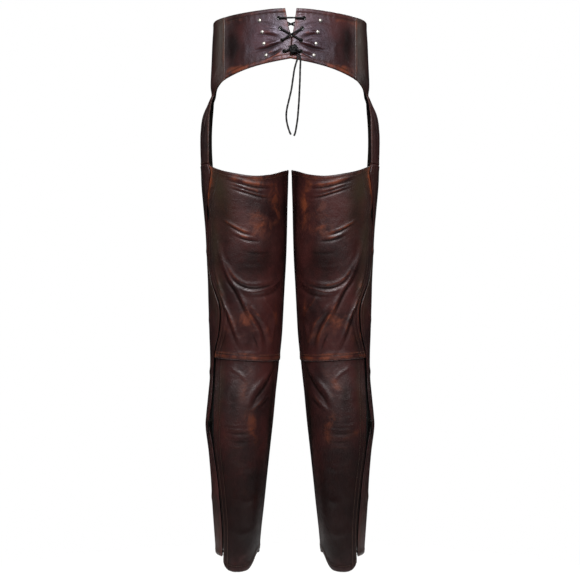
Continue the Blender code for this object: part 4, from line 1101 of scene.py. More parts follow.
# Back thigh panels
# Each is cut with a scooped top, turned under, and laps over the calf panel at the knee. The long swag and
# the slanting folds above the knee are where the leg bends.
BACK_TOP = [
    Edge(36.0, -0.2556),
    Edge(52.0, -0.2650),
    Edge(76.0, -0.2733),
    Edge(102.0, -0.2777),
    Edge(124.0, -0.2744),
    Edge(150.0, -0.2660),
    Edge(180.0, -0.2600),
]
THIGH_CREASES = [
    Crease(3.4, 1.3, 0.5, ((66, -279), (80, -284), (97, -291), (118, -294), (134, -293))),
    Crease(2.3, -1.5, 1.0, ((68, -285), (80, -291), (92, -296), (107, -300), (130, -301))),
    Crease(2.4, 1.0, 0.4, ((76, -292), (88, -297), (100, -303), (112, -306))),
    Crease(2.0, -1.3, 0.9, ((72, -294), (86, -301), (97, -306), (109, -311), (120, -313))),
    Crease(2.6, 0.9, 0.4, ((72, -297), (84, -303), (96, -309), (108, -313), (122, -316))),
    Crease(2.4, -1.6, 1.1, ((72, -300), (86, -307), (98, -312), (110, -317), (128, -320))),
    Crease(2.8, 1.3, 0.8, ((60, -360), (72, -370), (84, -379), (98, -385))),
    Crease(2.4, -1.2, 0.8, ((66, -369), (76, -377), (88, -386), (99, -390))),
    Crease(2.8, 0.9, 0.6, ((72, -382), (82, -389), (92, -393), (102, -395))),
    Crease(2.6, -1.0, 0.9, ((76, -390), (88, -397), (98, -400), (112, -401))),
    Crease(6.0, 2.6, 0.15, ((48, -396), (52, -424), (60, -453), (69, -475), (78, -492))),
    Crease(4.4, 2.9, 0.2, (
        (68, -476), (77, -490), (84, -505), (97, -538), (107, -560), (115, -580), (119, -608)
    )),
    Crease(4.8, 1.5, 0.3, (
        (56, -428), (67, -455), (78, -472), (92, -482), (108, -483), (128, -478), (142, -472)
    )),
    Crease(3.8, -1.2, 0.9, ((64, -458), (76, -477), (90, -487), (108, -490), (128, -485), (142, -477))),
    Crease(4.6, 1.6, 0.15, (
        (76, -484), (88, -494), (101, -497), (116, -493), (136, -484), (150, -474), (158, -462)
    )),
    Crease(4.6, -2.0, 0.9, ((56, -452), (63, -475), (73, -492), (80, -508), (88, -530), (95, -550))),
    Crease(5.0, -1.6, 0.6, ((100, -505), (120, -503), (138, -496), (152, -486))),
    Crease(4.6, 2.8, 0.15, (
        (38, -440), (42, -464), (50, -490), (58, -519), (66, -545), (76, -577), (88, -606)
    )),
    Crease(5.0, -1.6, 0.6, ((50, -500), (58, -530), (66, -556), (76, -590), (86, -612))),
    Crease(5.5, 1.8, 0.3, ((88, -508), (97, -522), (109, -539), (122, -556), (131, -580), (140, -606))),
    Crease(4.4, -1.4, 0.7, ((94, -526), (106, -546), (116, -566), (124, -590), (128, -612))),
    Crease(4.0, 1.2, 0.4, ((120, -498), (124, -514), (136, -531), (146, -548))),
    Crease(3.4, -1.0, 0.8, ((100, -572), (108, -590), (115, -611))),
    Crease(6.0, 1.4, 0.15, ((146, -548), (140, -570), (138, -600))),
    Crease(1.6, 0.9, 0.1, ((53, -426), (60, -453), (69, -475), (78, -491), (84, -505))),
    Crease(1.7, 1.5, 0.2, ((83, -503), (88, -519), (97, -538), (104, -555), (112, -570), (117, -584))),
    Crease(1.9, 0.6, 0.15, (
        (78, -487), (88, -495), (101, -498), (112, -495), (124, -490), (137, -484), (147, -477)
    )),
    Crease(1.7, 1.6, 0.15, (
        (44, -465), (47, -478), (52, -504), (57, -519), (63, -533), (70, -552), (78, -583), (86, -600)
    )),
    Crease(1.4, 0.5, 0.25, ((62, -440), (72, -463), (82, -477), (92, -482))),
    Crease(1.4, 0.5, 0.25, ((100, -526), (109, -539), (118, -551), (126, -566))),
    Crease(1.4, 0.5, 0.2, ((60, -414), (66, -432), (72, -446))),
    Crease(3.2, 0.8, 0.2, ((76, -612), (96, -613), (116, -615))),
    Crease(9.0, 1.2, 0.1, ((44, -300), (46, -350), (42, -400))),
    Crease(3.0, -0.3, 0.3, ((84, -418), (104, -424), (128, -421))),
    Crease(3.0, 0.3, 0.1, ((80, -446), (100, -451), (122, -447))),
]
# Patches with dark are painted shade: on the outer side and down the inner edge, where the thigh turns from
# the light, and in the hollows above the swag and beside the knee. At 70, -455 dark below 0 makes it lighter,
# and at 118, -330 it is a painted highlight where a bluish sheen falls.
THIGH_PATCHES = [
    Patch(108, -352, 17, 30, 0.50, 0, 0),
    Patch(137, -330, 15, 40, 0.75, 0, 0),
    Patch(120, -372, 26, 20, 0.30, 0, 0),
    Patch(104, -300, 50, 16, 0.22, 0, 0),
    Patch(96, -386, 20, 12, 0.35, 0, 0),
    Patch(76, -372, 16, 9, 0.30, 0, 0),
    Patch(144, -535, 7, 24, 0.55, 0, 0),
    Patch(93, -546, 12, 22, 0.45, 0, 0),
    Patch(84, -560, 20, 30, 0.30, 0, 0),
    Patch(118, -580, 26, 30, 0.25, 0, 0),
    Patch(104, -284, 40, 7, 0.4, 0, 0),
    Patch(40, -268, 12, 12, 0.1, 0, 1.0),
    Patch(56, -300, 20, 34, 0, 0.2, 0.9),
    Patch(64, -350, 20, 40, 0, 0.45, 0.3),
    Patch(42, -400, 14, 50, 0.1, 0, 0.8),
    Patch(104, -440, 40, 34, 0, 0.7, 0),
    Patch(70, -455, 18, 20, 0, -0.2, 0),
    Patch(60, -570, 18, 40, 0.25, 0, 0),
    Patch(122, -420, 22, 30, 0.1, 0.2, 0),
    Patch(50, -490, 10, 30, 0.2, 0, 0.5),
    Patch(56, -590, 10, 22, 0.1, 0.5, 0.1),
    Patch(170, -450, 11, 220, 0, 0.9, 0),
    Patch(118, -330, 8, 9, 0, -0.3, 0),
]
KNEE_BAND = 0.0125
ZIP_BAND = 0.0085
THIGH_FOOT = -0.6265
THIGH_LENGTH = 0.36
BACK_WIDTH = 0.19
BACK_GRID = 0.0020
SEWN_FROM_ZIP = (0.0069, 0.0165)
SEWN_ROW = 80
SEWN_COL = 40


def back_panel(side, u, v, top, bottom):
    """The angle and height of a grid of places between the zip and the inner seam."""
    z = top + (bottom - top) * v
    first = zip_edge(z, 1)
    last = INNER_SEAM - degrees_of(SEAM / 2, INNER_SEAM, -0.3)
    return first + (last - first) * u, z, first, last


def seam_ridge(from_inner):
    """A felled seam beside the inner edge: a low flat ridge that drops away at the edge itself."""
    return 0.0007 * near(from_inner - 0.0042, 0.0026) - 0.0010 * near(from_inner, 0.0012)


ACROSS = graded(0, BACK_WIDTH, BACK_GRID, (0.007, 0.015)) / BACK_WIDTH
for side_name, side in SIDES:
    down = graded(0, THIGH_LENGTH, BACK_GRID, (0.008, THIGH_LENGTH - KNEE_BAND)) / THIGH_LENGTH
    u, v = np.meshgrid(ACROSS, down)
    nominal = 37 + (INNER_SEAM - 37) * u
    top = column(BACK_TOP, "z", nominal, key="angle")
    bottom = THIGH_FOOT - 0.0032 * np.clip((nominal - 80) / 45, -1, 1)
    angle, z, first, last = back_panel(side, u, v, top, bottom)
    scale = leg_scale(z)
    lift, rubs, painted_shade, olives = wear_and_shade_of(THIGH_CREASES, THIGH_PATCHES, angle * scale, z, leg_scale)
    from_top = top - z
    from_knee = z - bottom
    from_zip = (angle - first) * scale
    from_inner = (last - angle) * scale
    lift = lift * (1 - 0.8 * near(from_zip, 0.006)) * (1 - near(from_inner, 0.006))
    lift = lift * (1 - 0.75 * near(from_knee, 0.012))
    lift = lift + turned_edge(from_top, ZIP_BAND) + 1.4 * turned_edge(from_knee, KNEE_BAND)
    lift = lift + turned_edge(from_zip, ZIP_BAND) - 0.0005 * near(from_zip - SEWN_FROM_ZIP[1], 0.0012)
    flare = near(z + 0.290, 0.036) * near(from_zip, 0.0075)
    lift = lift + seam_ridge(from_inner) + 0.0022 * flare
    knee_wear = near(from_knee - 0.0060, 0.0052)
    rubs = rubs + 0.62 * knee_wear + 0.45 * near(from_knee - KNEE_BAND, 0.0012)
    rubs = rubs + 0.35 * near(from_zip - 0.0015, 0.0026) + 1.2 * flare + 0.3 * near(from_top - 0.004, 0.004)
    # Painted shade in the knee band's stitch groove, along the folded top edge and in the zip band's stitch
    # grooves
    painted_shade = painted_shade + 0.6 * near(from_knee - KNEE_BAND + 0.0024, 0.0010) + 0.7 * near(from_top, 0.0014)
    painted_shade = painted_shade + 0.4 * near(from_zip - 0.0070, 0.0012) + 0.35 * near(from_zip - SEWN_FROM_ZIP[1], 0.0014)
    face = leg_surface(side, angle, z, lift)
    cols = [nearest(from_zip[SEWN_ROW], away) for away in SEWN_FROM_ZIP]
    rows = [nearest(from_knee[:, SEWN_COL], away) for away in (KNEE_BAND - SEW_IN, 0.0030)]
    rows.append(nearest(from_top[:, SEWN_COL], SEWN_FROM_ZIP[0]))
    wear_and_shade = (rubs, painted_shade, olives)
    sewn_panel("thigh_panel", side_name, face, wear_and_shade, "back_thigh", cols, rows)

# Back calf panels
# Each is tucked under the thigh panel's edge at the knee, tapers with the calf, and ends in a rounded drop
# at the heel that covers the top of the boot.
HEM_EDGE = [
    Edge(51.0, -1.0130),
    Edge(57.7, -1.0214),
    Edge(64.0, -1.0252),
    Edge(76.0, -1.0282),
    Edge(92.0, -1.0290),
    Edge(110.0, -1.0284),
    Edge(125.5, -1.0252),
    Edge(132.0, -1.0214),
    Edge(140.0, -1.0138),
    Edge(146.0, -1.0062),
    Edge(156.0, -0.9990),
    Edge(180.0, -0.9950),
]
CALF_CREASES = [
    Crease(6.0, 1.8, 0.15, (
        (152, -634), (146, -644), (136, -657), (124, -670), (112, -685), (105, -705), (104, -720)
    )),
    Crease(4.4, -1.7, 0.8, ((154, -644), (147, -653), (136, -672), (126, -686), (117, -698), (110, -714))),
    Crease(3.6, 1.6, 0.35, ((142, -686), (134, -697), (126, -707), (117, -717), (110, -722))),
    Crease(3.6, -1.0, 0.5, ((146, -696), (136, -708), (124, -719))),
    Crease(3.2, 0.8, 0.2, ((66, -640), (84, -652), (98, -668))),
    Crease(2.0, 0.45, 0.2, ((66, -748), (86, -751), (104, -749))),
    Crease(2.0, 0.5, 0.2, ((72, -757), (94, -760), (118, -757))),
    Crease(2.0, -0.45, 0.3, ((68, -763), (90, -766), (112, -764))),
    Crease(2.0, 0.45, 0.2, ((70, -771), (92, -774), (120, -771))),
    Crease(2.2, -0.4, 0.3, ((74, -779), (96, -782), (116, -780))),
    Crease(2.2, 0.4, 0.2, ((66, -788), (88, -792), (112, -789))),
    Crease(7.0, 0.9, 0.05, ((70, -820), (96, -832), (124, -826))),
    Crease(8.0, 0.9, 0.05, ((80, -880), (106, -896), (134, -888))),
    Crease(7.0, 0.8, 0.05, ((76, -946), (102, -958), (130, -950))),
    Crease(10.0, 1.0, 0.0, ((96, -840), (100, -900), (96, -970))),
]
# Patches with dark are painted shade: darker over the middle and towards the hem, away from the light above,
# down the inner edge and on the outer side below the knee
CALF_PATCHES = [
    Patch(94, -684, 12, 24, 0.40, 0, 0),
    Patch(92, -720, 66, 70, 0, 0.25, 0),
    Patch(116, -762, 12, 32, 0.65, 0, 0),
    Patch(104, -740, 16, 16, 0.35, 0, 0),
    Patch(98, -660, 30, 26, 0.25, 0, 0),
    Patch(96, -830, 20, 30, 0.22, 0, 0),
    Patch(64, -764, 9, 12, 0.5, 0, 0),
    Patch(84, -772, 14, 18, 0.25, 0, 0),
    Patch(52, -690, 9, 60, 0.1, 0.1, 0.4),
    Patch(78, -870, 12, 20, 0.2, 0, 0.1),
    Patch(106, -880, 8, 14, 0.25, 0, 0),
    Patch(100, -930, 110, 150, 0, 1.1, 0),
    Patch(168, -800, 10, 190, 0, 0.8, 0.3),
    Patch(78, -700, 12, 40, 0, 0.4, 0),
]
CALF_LENGTH = 0.40
SEWN_BELOW = 0.020

for side_name, side in SIDES:
    down = graded(0, CALF_LENGTH, 0.0021, (CALF_LENGTH - HEM_BAND,)) / CALF_LENGTH
    u, v = np.meshgrid(ACROSS, down)
    nominal = HEM_EDGE[0].angle + (INNER_SEAM - HEM_EDGE[0].angle) * u
    hem = column(HEM_EDGE, "z", nominal, key="angle")
    angle, z, first, last = back_panel(side, u, v, KNEE_SEAM + KNEE_LAP, hem)
    scale = leg_scale(z)
    lift, rubs, painted_shade, olives = wear_and_shade_of(CALF_CREASES, CALF_PATCHES, angle * scale, z, leg_scale)
    from_knee = KNEE_SEAM + KNEE_LAP - z
    from_hem = z - hem
    from_zip = (angle - first) * scale
    from_inner = (last - angle) * scale
    lift = lift * (1 - 0.8 * near(from_zip, 0.006)) * (1 - near(from_inner, 0.006))
    lift = lift * (1 - near(from_knee, SEWN_BELOW)) - knee_tuck(z)
    lift = lift + turned_edge(from_hem, HEM_BAND) + turned_edge(from_zip, ZIP_BAND)
    lift = lift - 0.0005 * near(from_zip - SEWN_FROM_ZIP[1], 0.0012) + seam_ridge(from_inner)
    rubs = rubs + 0.12 * near(from_zip - 0.0015, 0.0026) + 0.15 * near(from_hem - 0.003, 0.004)
    # Painted shade in the zip band's stitch grooves and the hem's, and below the knee where the thigh panel
    # laps over
    painted_shade = painted_shade + 0.5 * near(from_zip - 0.0070, 0.0012) + 0.35 * near(from_zip - SEWN_FROM_ZIP[1], 0.0014)
    painted_shade = painted_shade + 0.4 * near(from_hem - HEM_BAND + SEW_IN, 0.0012) + 0.6 * near(from_knee, 0.016)
    face = leg_surface(side, angle, z, lift)
    cols = [nearest(from_zip[SEWN_ROW], away) for away in SEWN_FROM_ZIP]
    rows = [nearest(from_hem[:, SEWN_COL], HEM_BAND - SEW_IN)]
    skipped = (nearest(from_knee[:, SEWN_COL], SEWN_BELOW), 4)
    wear_and_shade = (rubs, painted_shade, olives)
    sewn_panel("calf_panel", side_name, face, wear_and_shade, "back_calf", cols, rows, skipped)

# Side zips
# A long metal zip runs down each leg, sewn behind the edges of the leather: two woven tapes, gunmetal
# teeth clamped on their beads, stops, and a slider. It is fastened down to the slider and parted below it.
TAPE = 0.0008
TAPE_DEPTH = -0.0028
TAPE_WIDTH = 0.0130
TAPE_TOP = -0.266
TAPE_BOTTOM = -1.000
TOOTH_PITCH = 0.0013
TOOTH_WIDTH = 0.0013
TOOTH_THICK = 0.0022

TAPE_ROWS = 230
TAPE_ACROSS = (0.0, 0.0008, 0.0022, 0.0070, 0.0122, TAPE_WIDTH)
SLIDER_HALF = 0.0055
STOP_SIZE = (2.6, 1.0, 1.15)
# Polyester twill tape, dyed black, dull, with a fine rib. Its 0.5 mm ribs are drawn 1 mm wide.
twill, tree, shader = new_finish("black_twill_tape", "#131212", 0.85, Specular_IOR_Level=0.25)
cut = node(tree, "UVMap", uv_map="cut")
rib = node(tree, "TexWave", {"Vector": cut.outputs["UV"], "Scale": 320.0}, bands_direction="DIAGONAL")
weave = node(tree, "Bump", {"Height": rib.outputs["Fac"], "Strength": 0.5, "Distance": 0.0002})
tree.links.new(weave.outputs["Normal"], shader.inputs["Normal"])


def zip_frame(side, away, z, depth):
    """Places beside the zip line, with the direction down the zip and the outward direction at each."""
    middle = column(ZIP_LINE, "angle", z)
    angle = middle + degrees_of(away, middle, z)
    at = leg_surface(side, angle, z, depth - knee_tuck(z))
    out = leg_surface(side, angle, z, depth - knee_tuck(z) + 0.001) - at
    out /= np.linalg.norm(out, axis=-1)[..., None]
    along = np.gradient(at, axis=0)
    along -= out * (along * out).sum(axis=-1)[..., None]
    along /= np.linalg.norm(along, axis=-1)[..., None]
    return at, along, out


def parted(z):
    """How far each tape's edge stands from the zip line: nearly together above the slider, apart below it."""
    return 0.0010 + 0.0011 / (1 + np.exp((z - SLIDER_Z + 0.004) / 0.003))


bpy.ops.object.select_all(action="DESELECT")
bpy.ops.mesh.primitive_cube_add(size=1.0, location=(0, 0, 0))
tooth = bpy.context.object
bpy.ops.object.mode_set(mode="EDIT")
bpy.ops.mesh.select_all(action="SELECT")
bpy.ops.transform.resize(value=(TOOTH_WIDTH, 0.0026, TOOTH_THICK), center_override=(0, 0, 0))
bpy.ops.transform.translate(value=(0, -0.0007, 0))
bpy.ops.mesh.select_all(action="DESELECT")
bpy.ops.object.mode_set(mode="OBJECT")
for face in tooth.data.polygons:
    face.select = face.normal.y > 0.9
bpy.ops.object.mode_set(mode="EDIT")
bpy.ops.mesh.extrude_region_move(TRANSFORM_OT_translate={"value": (0, 0.0010, 0)})
bpy.ops.transform.resize(value=(0.62, 1.0, 0.8), center_override=(0, 0, 0))
bpy.ops.object.mode_set(mode="OBJECT")
tooth_points = np.array([v.co for v in tooth.data.vertices])
tooth_faces = [tuple(face.vertices) for face in tooth.data.polygons]
bpy.data.objects.remove(tooth)

for side_name, side in SIDES:
    fine_z = np.linspace(TAPE_TOP - 0.004, TAPE_BOTTOM + 0.006, 3000)
    along = reach_along(zip_frame(side, 0 * fine_z, fine_z, TAPE_DEPTH)[0])
    tooth_z = np.interp(np.arange(TOOTH_PITCH, along[-1], TOOTH_PITCH), along, fine_z)
    for order, (place, way) in enumerate((("front", -1), ("back", 1))):
        u, z = np.meshgrid(TAPE_ACROSS, np.linspace(TAPE_TOP, TAPE_BOTTOM, TAPE_ROWS))
        bead = 0.0005 * near(u, 0.0010) - 0.0006 * near(TAPE_WIDTH - u, 0.0006)
        face = zip_frame(side, way * (parted(z) + u), z, TAPE_DEPTH + bead)[0]
        name = f"{place}_{side_name}"
        tape = leather_shell("tape_" + name, face, (), ["zip_tape_" + name], [twill, twill], TAPE)
        row_z = tooth_z[order::2]
        at, down, out = zip_frame(side, way * parted(row_z), row_z, TAPE_DEPTH - TAPE / 2)
        run = down if side * way > 0 else -down
        free = np.abs(row_z - SLIDER_Z) > SLIDER_HALF
        spots = list(zip(at[free], run[free], out[free]))
        teeth = spread("zip_teeth_" + name, tooth_points, tooth_faces, spots, gunmetal)
        ends = [spots[0], spots[-1]]
        stop_points = tooth_points * STOP_SIZE
        stops = spread("zip_stops_" + name, stop_points, tooth_faces, ends, gunmetal)
        teeth.data.shade_flat()
        stops.data.shade_flat()

# Sliders and pull tabs
# Each slider is die cast in zinc and plated in gunmetal: two plates joined by a wedge between the rows of
# teeth, their sides turned in round the beads, and a pair of lugs with a pin through the pull tab's barrel.
HINGE_OUT = 0.0030
PULL_WIDTH = 0.0042
PULL_LENGTH = 0.0240
PULL_TIP = 0.0010


def select_faces(made, test):
    """In edit mode, only the faces whose middle and normal pass a test."""
    bpy.ops.object.mode_set(mode="EDIT")
    bpy.ops.mesh.select_mode(type="FACE")
    bpy.ops.mesh.select_all(action="DESELECT")
    bpy.ops.object.mode_set(mode="OBJECT")
    for face in made.data.polygons:
        face.select = test(face.center, face.normal)
    bpy.ops.object.mode_set(mode="EDIT")


def block(name, low, high, rounded):
    """A box between two corners with its edges rounded, from a cube."""
    bpy.ops.object.select_all(action="DESELECT")
    bpy.ops.mesh.primitive_cube_add(size=1.0, location=(0, 0, 0))
    made = bpy.context.object
    made.name = made.data.name = name
    bpy.ops.object.mode_set(mode="EDIT")
    bpy.ops.mesh.select_all(action="SELECT")
    size = [b - a for a, b in zip(low, high)]
    bpy.ops.transform.resize(value=size, center_override=(0, 0, 0))
    bpy.ops.transform.translate(value=[(a + b) / 2 for a, b in zip(low, high)])
    if rounded:
        bpy.ops.mesh.bevel(offset=rounded, offset_type="OFFSET", segments=2, affect="EDGES")
    bpy.ops.object.mode_set(mode="OBJECT")
    return made


def pin(radius, length, vertices=20):
    """A round pin along x through the origin."""
    bpy.ops.object.select_all(action="DESELECT")
    bpy.ops.mesh.primitive_cylinder_add(
        vertices=vertices, radius=radius, depth=length, location=(0, 0, 0), rotation=(0, math.radians(90), 0)
    )
    made = bpy.context.object
    bpy.ops.object.transform_apply(location=False, rotation=True, scale=False)
    return made


def joined(pieces):
    bpy.ops.object.select_all(action="DESELECT")
    for made in pieces:
        made.select_set(True)
    bpy.context.view_layer.objects.active = pieces[0]
    bpy.ops.object.join()
    return pieces[0]


def cut_away(made, cutter, folded=False):
    """Takes the cutter's form out of a piece, which may be folded into itself."""
    cutting = made.modifiers.new("cut", "BOOLEAN")
    cutting.operation = "DIFFERENCE"
    cutting.solver = "EXACT"
    cutting.use_self = folded
    cutting.object = cutter
    apply_modifiers(made)
    bpy.data.objects.remove(cutter)


top_plate = block("slider_plate", (-0.0046, -0.0055, -0.0020), (0.0046, 0.0055, -0.0006), 0)
select_faces(top_plate, lambda at, normal: normal.y > 0.9)
bpy.ops.transform.resize(value=(0.74, 1.0, 1.0), center_override=(0, 0, 0))
bpy.ops.mesh.select_all(action="SELECT")
bpy.ops.mesh.bevel(offset=0.0004, offset_type="OFFSET", segments=2, affect="EDGES")
bpy.ops.object.mode_set(mode="OBJECT")
under_plate = block("under_plate", (-0.0044, -0.0050, -0.0054), (0.0044, 0.0050, -0.0044), 0.0003)
wedge = block("wedge", (-0.0008, -0.0052, -0.0050), (0.0008, -0.0022, -0.0014), 0.0002)
left_side = block("side", (-0.0050, -0.0050, -0.0052), (-0.0043, 0.0050, -0.0012), 0.0002)
right_side = block("side", (0.0043, -0.0050, -0.0052), (0.0050, 0.0050, -0.0012), 0.0002)
lugs = []
for way in (-1, 1):
    near_x, far_x = sorted((way * 0.0024, way * 0.0034))
    lugs.append(block("lug", (near_x, -0.0017, -0.0010), (far_x, 0.0017, 0.0042), 0.0003))
hinge = pin(0.00045, 0.0072)
hinge.data.transform(Matrix.Translation((0, 0, HINGE_OUT)))
slider = joined([top_plate, under_plate, wedge, left_side, right_side, *lugs, hinge])
bpy.ops.object.shade_smooth_by_angle(angle=math.radians(40))

# The tab: a flat blade with a sunk face and a slot near its end, and a barrel bored for the pin
blade = block("pull", (-0.0019, PULL_TIP - PULL_LENGTH, -0.00055), (0.0019, -0.0007, 0.00055), 0)
select_faces(blade, lambda at, normal: normal.y < -0.9)
bpy.ops.mesh.extrude_region_move(TRANSFORM_OT_translate={"value": (0, -PULL_TIP, 0)})
bpy.ops.transform.resize(value=(0.55, 1.0, 1.0), center_override=(0, 0, 0))
bpy.ops.mesh.select_all(action="SELECT")
bpy.ops.mesh.bevel(offset=0.00018, offset_type="OFFSET", segments=2, affect="EDGES")
bpy.ops.object.mode_set(mode="OBJECT")
for way in (-1, 1):
    select_faces(blade, lambda at, normal, way=way: normal.z * way > 0.99 and abs(at.x) < 0.001)
    bpy.ops.mesh.inset(thickness=0.0005, depth=0)
    bpy.ops.mesh.inset(thickness=0.0002, depth=-0.0002)
    bpy.ops.object.mode_set(mode="OBJECT")
slot = block("slot", (-0.0009, -0.0222, -0.002), (0.0009, -0.0172, 0.002), 0.0006)
cut_away(blade, slot, folded=True)
barrel = pin(0.0010, PULL_WIDTH)
cut_away(barrel, pin(0.00056, 0.0100))
tab = joined([barrel, blade])
bpy.ops.object.shade_smooth_by_angle(angle=math.radians(40))

for side_name, side in SIDES:
    angle = column(ZIP_LINE, "angle", SLIDER_Z)
    here = Vector(leg_surface(side, angle, np.array(SLIDER_Z), 0.0))
    outward = Vector(leg_surface(side, angle, np.array(SLIDER_Z), 0.01)) - here
    outward = Vector((outward.x, outward.y, 0.0)).normalized()
    up = Vector((0, 0, 1))
    stand = Matrix((up.cross(outward), up, outward)).transposed().to_4x4()
    stand.translation = here
    copy_to(slider, "slider_" + side_name, stand, gunmetal, "root", ["zip_slider_" + side_name])
    hung = stand @ Matrix.Translation((0, 0, HINGE_OUT))
    pull = "pull_" + side_name
    copy_to(tab, "pull_tab_" + side_name, hung, gunmetal, pull, ["zip_" + pull])
bpy.data.objects.remove(slider)
bpy.data.objects.remove(tab)

# Waist belt
# Two straps of 3 mm bridle leather, forty wide, sewn to the hip panels beside the open front. Both have
# creased and sewn edges; the right one is pointed and punched, and passes through the buckle and keeper.
BELT = 0.0030
BELT_OVER = 0.0047
BELT_TOP = 0.0180
BELT_BOTTOM = -0.0220
BAR_X = -0.0190
BAR_OUT = 0.0024
BAR_RADIUS = 0.0021
HOLE_PITCH = 0.0250
PRONG_HOLE_X = -0.0055
SEWN_AT = (0.0875, 0.9125)
Strap = namedtuple("Strap", "x out full")
BUCKLE_STRAP = [
    Strap(-0.1000, 0.0040, 1.00),
    Strap(-0.0850, 0.0040, 1.00),
    Strap(-0.0650, 0.0040, 1.00),
    Strap(-0.0450, 0.0040, 1.00),
    Strap(-0.0340, 0.0040, 0.95),
    Strap(-0.0280, 0.0041, 0.80),
    Strap(-0.0240, 0.0047, 0.45),
    Strap(-0.0215, 0.0053, 0.33),
    Strap(-0.0190, 0.0056, 0.33),
    Strap(-0.0167, 0.0047, 0.33),
    Strap(-0.0158, 0.0024, 0.33),
    Strap(-0.0167, 0.0001, 0.33),
    Strap(-0.0190, -0.0008, 0.33),
    Strap(-0.0240, -0.0006, 0.33),
    Strap(-0.0320, -0.0005, 0.36),
    Strap(-0.0430, -0.0005, 0.36),
]
TIP_STRAP = [
    Strap(0.1000, 0.0040, 1.00),
    Strap(0.0850, 0.0040, 1.00),
    Strap(0.0650, 0.0040, 1.00),
    Strap(0.0450, 0.0040, 1.00),
    Strap(0.0260, 0.0040, 1.00),
    Strap(0.0140, 0.0045, 1.00),
    Strap(0.0010, 0.0066, 1.00),
    Strap(-0.0110, 0.0086, 1.00),
    Strap(-0.0200, 0.0090, 1.00),
    Strap(-0.0300, 0.0083, 1.00),
    Strap(-0.0380, 0.0077, 1.00),
    Strap(-0.0480, 0.0076, 1.00),
    Strap(-0.0620, 0.0076, 1.00),
    Strap(-0.0760, 0.0077, 1.00),
]

# Bridle leather, dyed dark brown and waxed: smooth, with a soft gloss and fine streaks. Streaks of about
# 5 mm are drawn 8 mm long.
bridle, tree, shader = new_finish("waxed_bridle_leather", "#33211a", 0.42, Specular_IOR_Level=0.5)
cut = node(tree, "UVMap", uv_map="cut")
stretched = node(tree, "Mapping", {"Vector": cut.outputs["UV"], "Scale": (110.0, 420.0, 1.0)})
streak = node(tree, "TexNoise", {"Vector": stretched.outputs["Vector"], "Scale": 1.0, "Detail": 5.0})
tone = node(
    tree,
    "Mix",
    {"Factor": streak.outputs["Fac"], 6: linear("#251712"), 7: linear("#43291f")},
    data_type="RGBA",
)
tree.links.new(tone.outputs[2], shader.inputs["Base Color"])
pores = node(tree, "Bump", {"Height": streak.outputs["Fac"], "Strength": 0.25, "Distance": 0.0004})
tree.links.new(pores.outputs["Normal"], shader.inputs["Normal"])


def front_surface(x, z, out):
    """Points before the waist at x, either side of the middle."""
    return hip_surface(1, -hip_angle(x, z), z, out)


def belt_strap(side_name, table, tip):
    """One strap on a grid along its route, its end drawn to a point over a length of tip."""
    route = smooth_route([(row.x, row.out, row.full) for row in table], 0.0015)
    spread_over = graded(0, 1, 0.05, SEWN_AT)
    s, v = np.meshgrid(range(len(route)), spread_over, indexing="ij")
    x, out, full = (route[:, k][s] for k in range(3))
    left = np.abs(x - route[-1, 0])
    narrow = np.sqrt(1 - np.clip(1 - left / tip, 0, 1) ** 2.2 * 0.94) if tip else 1.0
    middle = (BELT_TOP + BELT_BOTTOM) / 2
    half = (BELT_TOP - BELT_BOTTOM) / 2
    z = middle + half * (1 - 2 * v) * narrow
    from_edge = half * narrow - np.abs(z - middle)
    shaped = -0.0009 * near(from_edge, 0.0007) - 0.0003 * near(from_edge - 0.0020, 0.0005)
    shaped = shaped - 0.0004 * near(from_edge - 0.0035, 0.0007)
    face = front_surface(x, z, out + shaped)
    name = "belt_" + side_name
    replaced = ["belt_strap_" + side_name]
    strap = leather_shell(name, face, (), replaced, [bridle, suede], BELT, full)
    runs = [grid_run(face[2:-3], col=nearest(spread_over, place)) for place in SEWN_AT]
    return strap, face, sew("belt_stitching_" + side_name, runs, thread)


buckle_end, buckle_face, buckle_sewn = belt_strap("left", BUCKLE_STRAP, 0)
tip_end, tip_face, tip_sewn = belt_strap("right", TIP_STRAP, 0.022)
mid_z = (BELT_TOP + BELT_BOTTOM) / 2
for number in range(-2, 3):
    hole = surface_frame(front_surface, PRONG_HOLE_X + number * HOLE_PITCH, mid_z)
    bpy.ops.object.select_all(action="DESELECT")
    bpy.ops.mesh.primitive_cylinder_add(vertices=20, radius=0.0021, depth=0.030, location=(0, 0, 0))
    punch = bpy.context.object
    if number == 0:
        bpy.ops.transform.resize(value=(3.1, 1.15, 1.0), center_override=(0, 0, 0))
        bpy.ops.object.transform_apply(location=False, rotation=False, scale=True)
    punch.data.transform(hole)
    cut_away(tip_end, punch)
slit = block("slit", (-0.0060, -0.0028, -0.010), (0.0060, 0.0028, 0.012), 0.001)
slit.data.transform(surface_frame(front_surface, BAR_X, mid_z))
cut_away(buckle_end, slit)

# Buckle
# A heel-bar buckle of cast brass, aged: one rounded bar bent round in a rectangle, a prong cast with a loop
# that turns on the heel bar, and a keeper of the strap's own leather.
aged_brass, tree, shader = new_finish("aged_cast_brass", "#8a6b3c", 0.34, Metallic=1.0)
place = node(tree, "TexCoord")
tarnish = node(tree, "TexNoise", {"Vector": place.outputs["Object"], "Scale": 160.0, "Detail": 5.0})
tone = node(
    tree,
    "Mix",
    {"Factor": tarnish.outputs["Fac"], 6: linear("#5a4526"), 7: linear("#b08d55")},
    data_type="RGBA",
)
tree.links.new(tone.outputs[2], shader.inputs["Base Color"])

